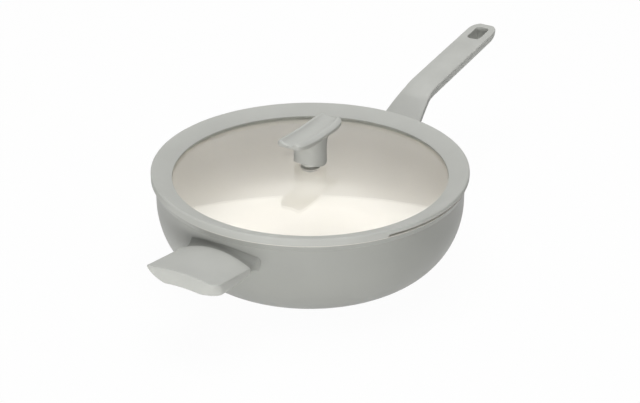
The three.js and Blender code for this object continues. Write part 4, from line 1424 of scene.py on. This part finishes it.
helper_tongue_foot = HELPER_RIDGE_HEIGHT - HELPER_TONGUE_DROP
helper_tongue_middle = helper_tongue_foot + HELPER_TONGUE_THICKNESS / 2
helper_screw_seat = helper_tongue_foot - SEAT - HELPER_SCREW_FLOOR
helper_screw_boxes = [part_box(f"helper_screw_{side}") for side in ("left", "right")]


def helper_tongue(play):
    """The bracket's tongue in the grip, made larger by some play for its socket."""
    back, reach = (wall_radius + helper_root) / 2, helper_root + HELPER_TONGUE_LENGTH + play
    ends = [(-x, helper_tongue_middle) for x in (back, reach)]
    return bar(*ends, HELPER_TONGUE_HALF_WIDTH + play, HELPER_TONGUE_THICKNESS + 2 * play)


def helper_drills(radius, foot, head):
    """One cutting tool at each of the helper's two screws."""
    places = [((low.x + high.x) / 2, (low.y + high.y) / 2, 0) for low, high in helper_screw_boxes]
    return [drill(radius, foot, head, place) for place in places]


def helper_grip():
    blank = skin("helper_grip_skin", helper_rings())
    low, high = helper_screw_boxes[0]
    head_radius = (high.y - low.y) / 2
    wells = helper_drills(head_radius + HOLE_PLAY, low.z - CUT_REACH, helper_screw_seat)
    bores = helper_drills(HELPER_SCREW_RADIUS + HOLE_PLAY, low.z, helper_tongue_middle)
    return cut(blank, helper_tongue(SEAT), *wells, *bores)


dress(helper_grip(), "pan", "grip_plastic", grip_plastic)

# %% [markdown]
# ## The brackets
#
# Each grip sits on a cast bracket that is welded to the wall. Its neck starts just inside the outline of
# the grip's root and grows into a larger outline on the wall. The growth follows the cube of the way, so
# it stays slim and then spreads in a hollow curve, as the fillet of a casting does. A tongue runs into the
# grip.

# %% Shape the brackets
BRACKET_INSET = 0.0013
BRACKET_FLARE = 0.003
BRACKET_SHOULDER = 0.006
BRACKET_LIFT = 0.003
BRACKET_BITE = 0.012
HANDLE_BRACKET_HEEL = 0.010
HELPER_BRACKET_HEEL = 0.005
BRACKET_LEVEL = 0.5  # how far the grip's crown is levelled out at the wall
NECK_RINGS = 24
MEETING_ROUNDS = 8


def wall_reach(y, z):
    """How far along X the pan's wall lies at y and z, with a seat's gap: (r^2 - y^2) ^ 0.5, where the
    wall's radius r follows its quarter ellipse."""
    fall = np.clip((CURVE_HEIGHT - z) / CURVE_HEIGHT, 0, 1)
    radius = SEAT + mix(FLAT_RADIUS, wall_radius, np.sqrt(1 - fall**2))
    return np.sqrt(radius**2 - y**2)


def widened(shape, wider, higher, deeper, level, shoulder):
    """A slice grown to its sides, up and down, with its crown levelled out by a share."""
    return {
        **shape,
        "low": shape["low"] - wider,
        "high": shape["high"] + wider,
        "top": lambda y: mix(shape["top"](y), shape["top"](0 * y), level) + higher,
        "bottom": lambda y, across: shape["bottom"](y, across) - deeper,
        "shoulder": shoulder,
    }


def bracket_neck(name, direction, root, shape, heel):
    """Rings from a grip's root to the wall: outline = inner + (outer - inner) * way ^ 3. After them come
    rings that shrink to the middle of the foot, so that the foot follows the wall."""
    inset = -BRACKET_INSET
    inner = widened(shape, inset, inset, inset, 0, shape["shoulder"])
    outer = widened(shape, BRACKET_FLARE, BRACKET_LIFT, heel, BRACKET_LEVEL, BRACKET_SHOULDER)
    start, end = (grip_rings(0, outline)[0, :, 1:] for outline in (inner, outer))
    reach = root - SEAT
    met = end
    for _ in range(MEETING_ROUNDS):
        share = (reach - wall_reach(*met.T)) / (reach - wall_radius + BRACKET_BITE)
        met = mix(start, end, share[:, None])
    way = shares(NECK_RINGS)
    sides = mix(start, met, way[..., None] ** 3)
    foot = closing(met)
    y, z = np.moveaxis(np.concatenate([sides, foot]), -1, 0)
    way = np.concatenate([way, np.ones((len(foot), 1))])
    x = mix(reach, wall_reach(y, z), way)
    return skin(name, np.stack([direction * x, y, z], axis=-1))


def handle_bracket():
    shape = handle_shape(handle_root + FINE_ROUND, HANDLE_ROOT_HEIGHT)
    neck = bracket_neck("handle_bracket_skin", 1, handle_root, shape, HANDLE_BRACKET_HEEL)
    hole = handle_drill(HANDLE_SCREW_RADIUS + SEAT, handle_screw_foot, CUT_REACH)
    return cut(join(neck, handle_tongue(0)), hole)


def helper_bracket():
    shape = helper_shape(FINE_ROUND)
    neck = bracket_neck("helper_bracket_skin", -1, helper_root, shape, HELPER_BRACKET_HEEL)
    holes = helper_drills(HELPER_SCREW_RADIUS + SEAT, helper_screw_seat, helper_tongue_foot + CUT_REACH)
    return cut(join(neck, helper_tongue(0)), *holes)


dress(handle_bracket(), "pan", "pan_lacquer", lacquer)
dress(helper_bracket(), "pan", "pan_lacquer", lacquer)

# %% [markdown]
# ## The light and the floor
#
# The light is that of a plain studio: a broad soft box straight above, which fills the bowl and leaves its
# upright walls darker, a low white card by the floor that lights the outside from the helper's side, a dim
# panel behind the handle that the front of the glass mirrors, and a faint even sky. The floor is pale.
# Seen directly or in glass, floor and sky are white, and in gloss the sky is dimmer. The light that they
# send onto the wok stays at a plain level.

# %% Set up light and floor
SKY_STRENGTH = 0.13
LAMPS = {
    "soft_box": {"place": (0.1, 0.05, 1.6), "size": (1.2, 1.2), "power": 19.5},
    "low_card": {"place": (-1.65, -0.6, 0.1), "size": (1.8, 0.18), "power": 20.0},
    "back_panel": {"place": (0.95, 0.6, 1.2), "size": (1.2, 0.5), "power": 1.9},
}
FLOOR_HALF_SIZE = 3.0
FLOOR_GREY = linear(240, 240, 238)
FLOOR_SHOWS = 0.97  # share of pure white in the floor as it is seen
SKY_IN_GLOSS = 0.55  # share of the white sky in reflections, as if dark cards stood out of view
HALF_BOUNCE = 0.5  # a ray's depth counts whole bounces, so this parts none from some


def seen_directly(wire, in_gloss=1.0):
    """1 for rays from the camera and through glass, a given share for those from gloss, and 0 for light on
    its way about, which a matt surface has scattered at least once."""
    kinds = ("Is Camera Ray", "Is Glossy Ray", "Is Transmission Ray", "Glossy Depth", "Diffuse Depth")
    camera, gloss, through, mirrored, scattered = (
        wire.node("ShaderNodeLightPath", output=kind) for kind in kinds
    )
    direct = wire.math("MAXIMUM", wire.math("MAXIMUM", camera, gloss), through)
    dimmed = 1 - (1 - in_gloss) * wire.math("GREATER_THAN", mirrored, HALF_BOUNCE)
    return direct * dimmed * wire.math("LESS_THAN", scattered, HALF_BOUNCE)


def add_sky():
    world = bpy.data.worlds.new("sky")
    world.use_nodes = True
    bpy.context.scene.world = world
    wire = Wire(world.node_tree)
    seen = seen_directly(wire, SKY_IN_GLOSS)
    strength = SKY_STRENGTH + (1 - SKY_STRENGTH) * seen
    back = node_of(world.node_tree, "BACKGROUND")
    back.inputs["Color"].default_value = linear(255, 255, 255)
    world.node_tree.links.new(strength.socket, back.inputs["Strength"])


def add_lamp(name, place, size, power):
    """A lit rectangle at a place, turned to face the origin."""
    light = bpy.data.lights.new(name, "AREA")
    light.shape = "RECTANGLE"
    light.size, light.size_y = size
    light.energy = power
    x, y, z = place
    aim(add_object(name, light), place, np.arctan2(x, -y), np.arctan2(z, np.hypot(x, y)))


def add_floor():
    """A level square just under the wok."""
    half = FLOOR_HALF_SIZE
    mesh = bpy.data.meshes.new("floor")
    corners = [(-half, -half, -SEAT), (half, -half, -SEAT), (half, half, -SEAT), (-half, half, -SEAT)]
    mesh.from_pydata(corners, [], [(0, 1, 2, 3)])
    floor = add_object("floor", mesh)
    material, shader, place = new_finish("pale_floor")
    feed(shader, Base_Color=FLOOR_GREY, Roughness=0.9)
    white = place.node("ShaderNodeEmission", None, {"Strength": 1.0})
    show_mix(place, shader, white, seen_directly(place) * FLOOR_SHOWS)
    mesh.materials.append(material)


add_sky()
for lamp_name, lamp in LAMPS.items():
    add_lamp(lamp_name, **lamp)
add_floor()
bpy.context.scene.view_settings.view_transform = "Standard"
print("lamps:", *LAMPS)
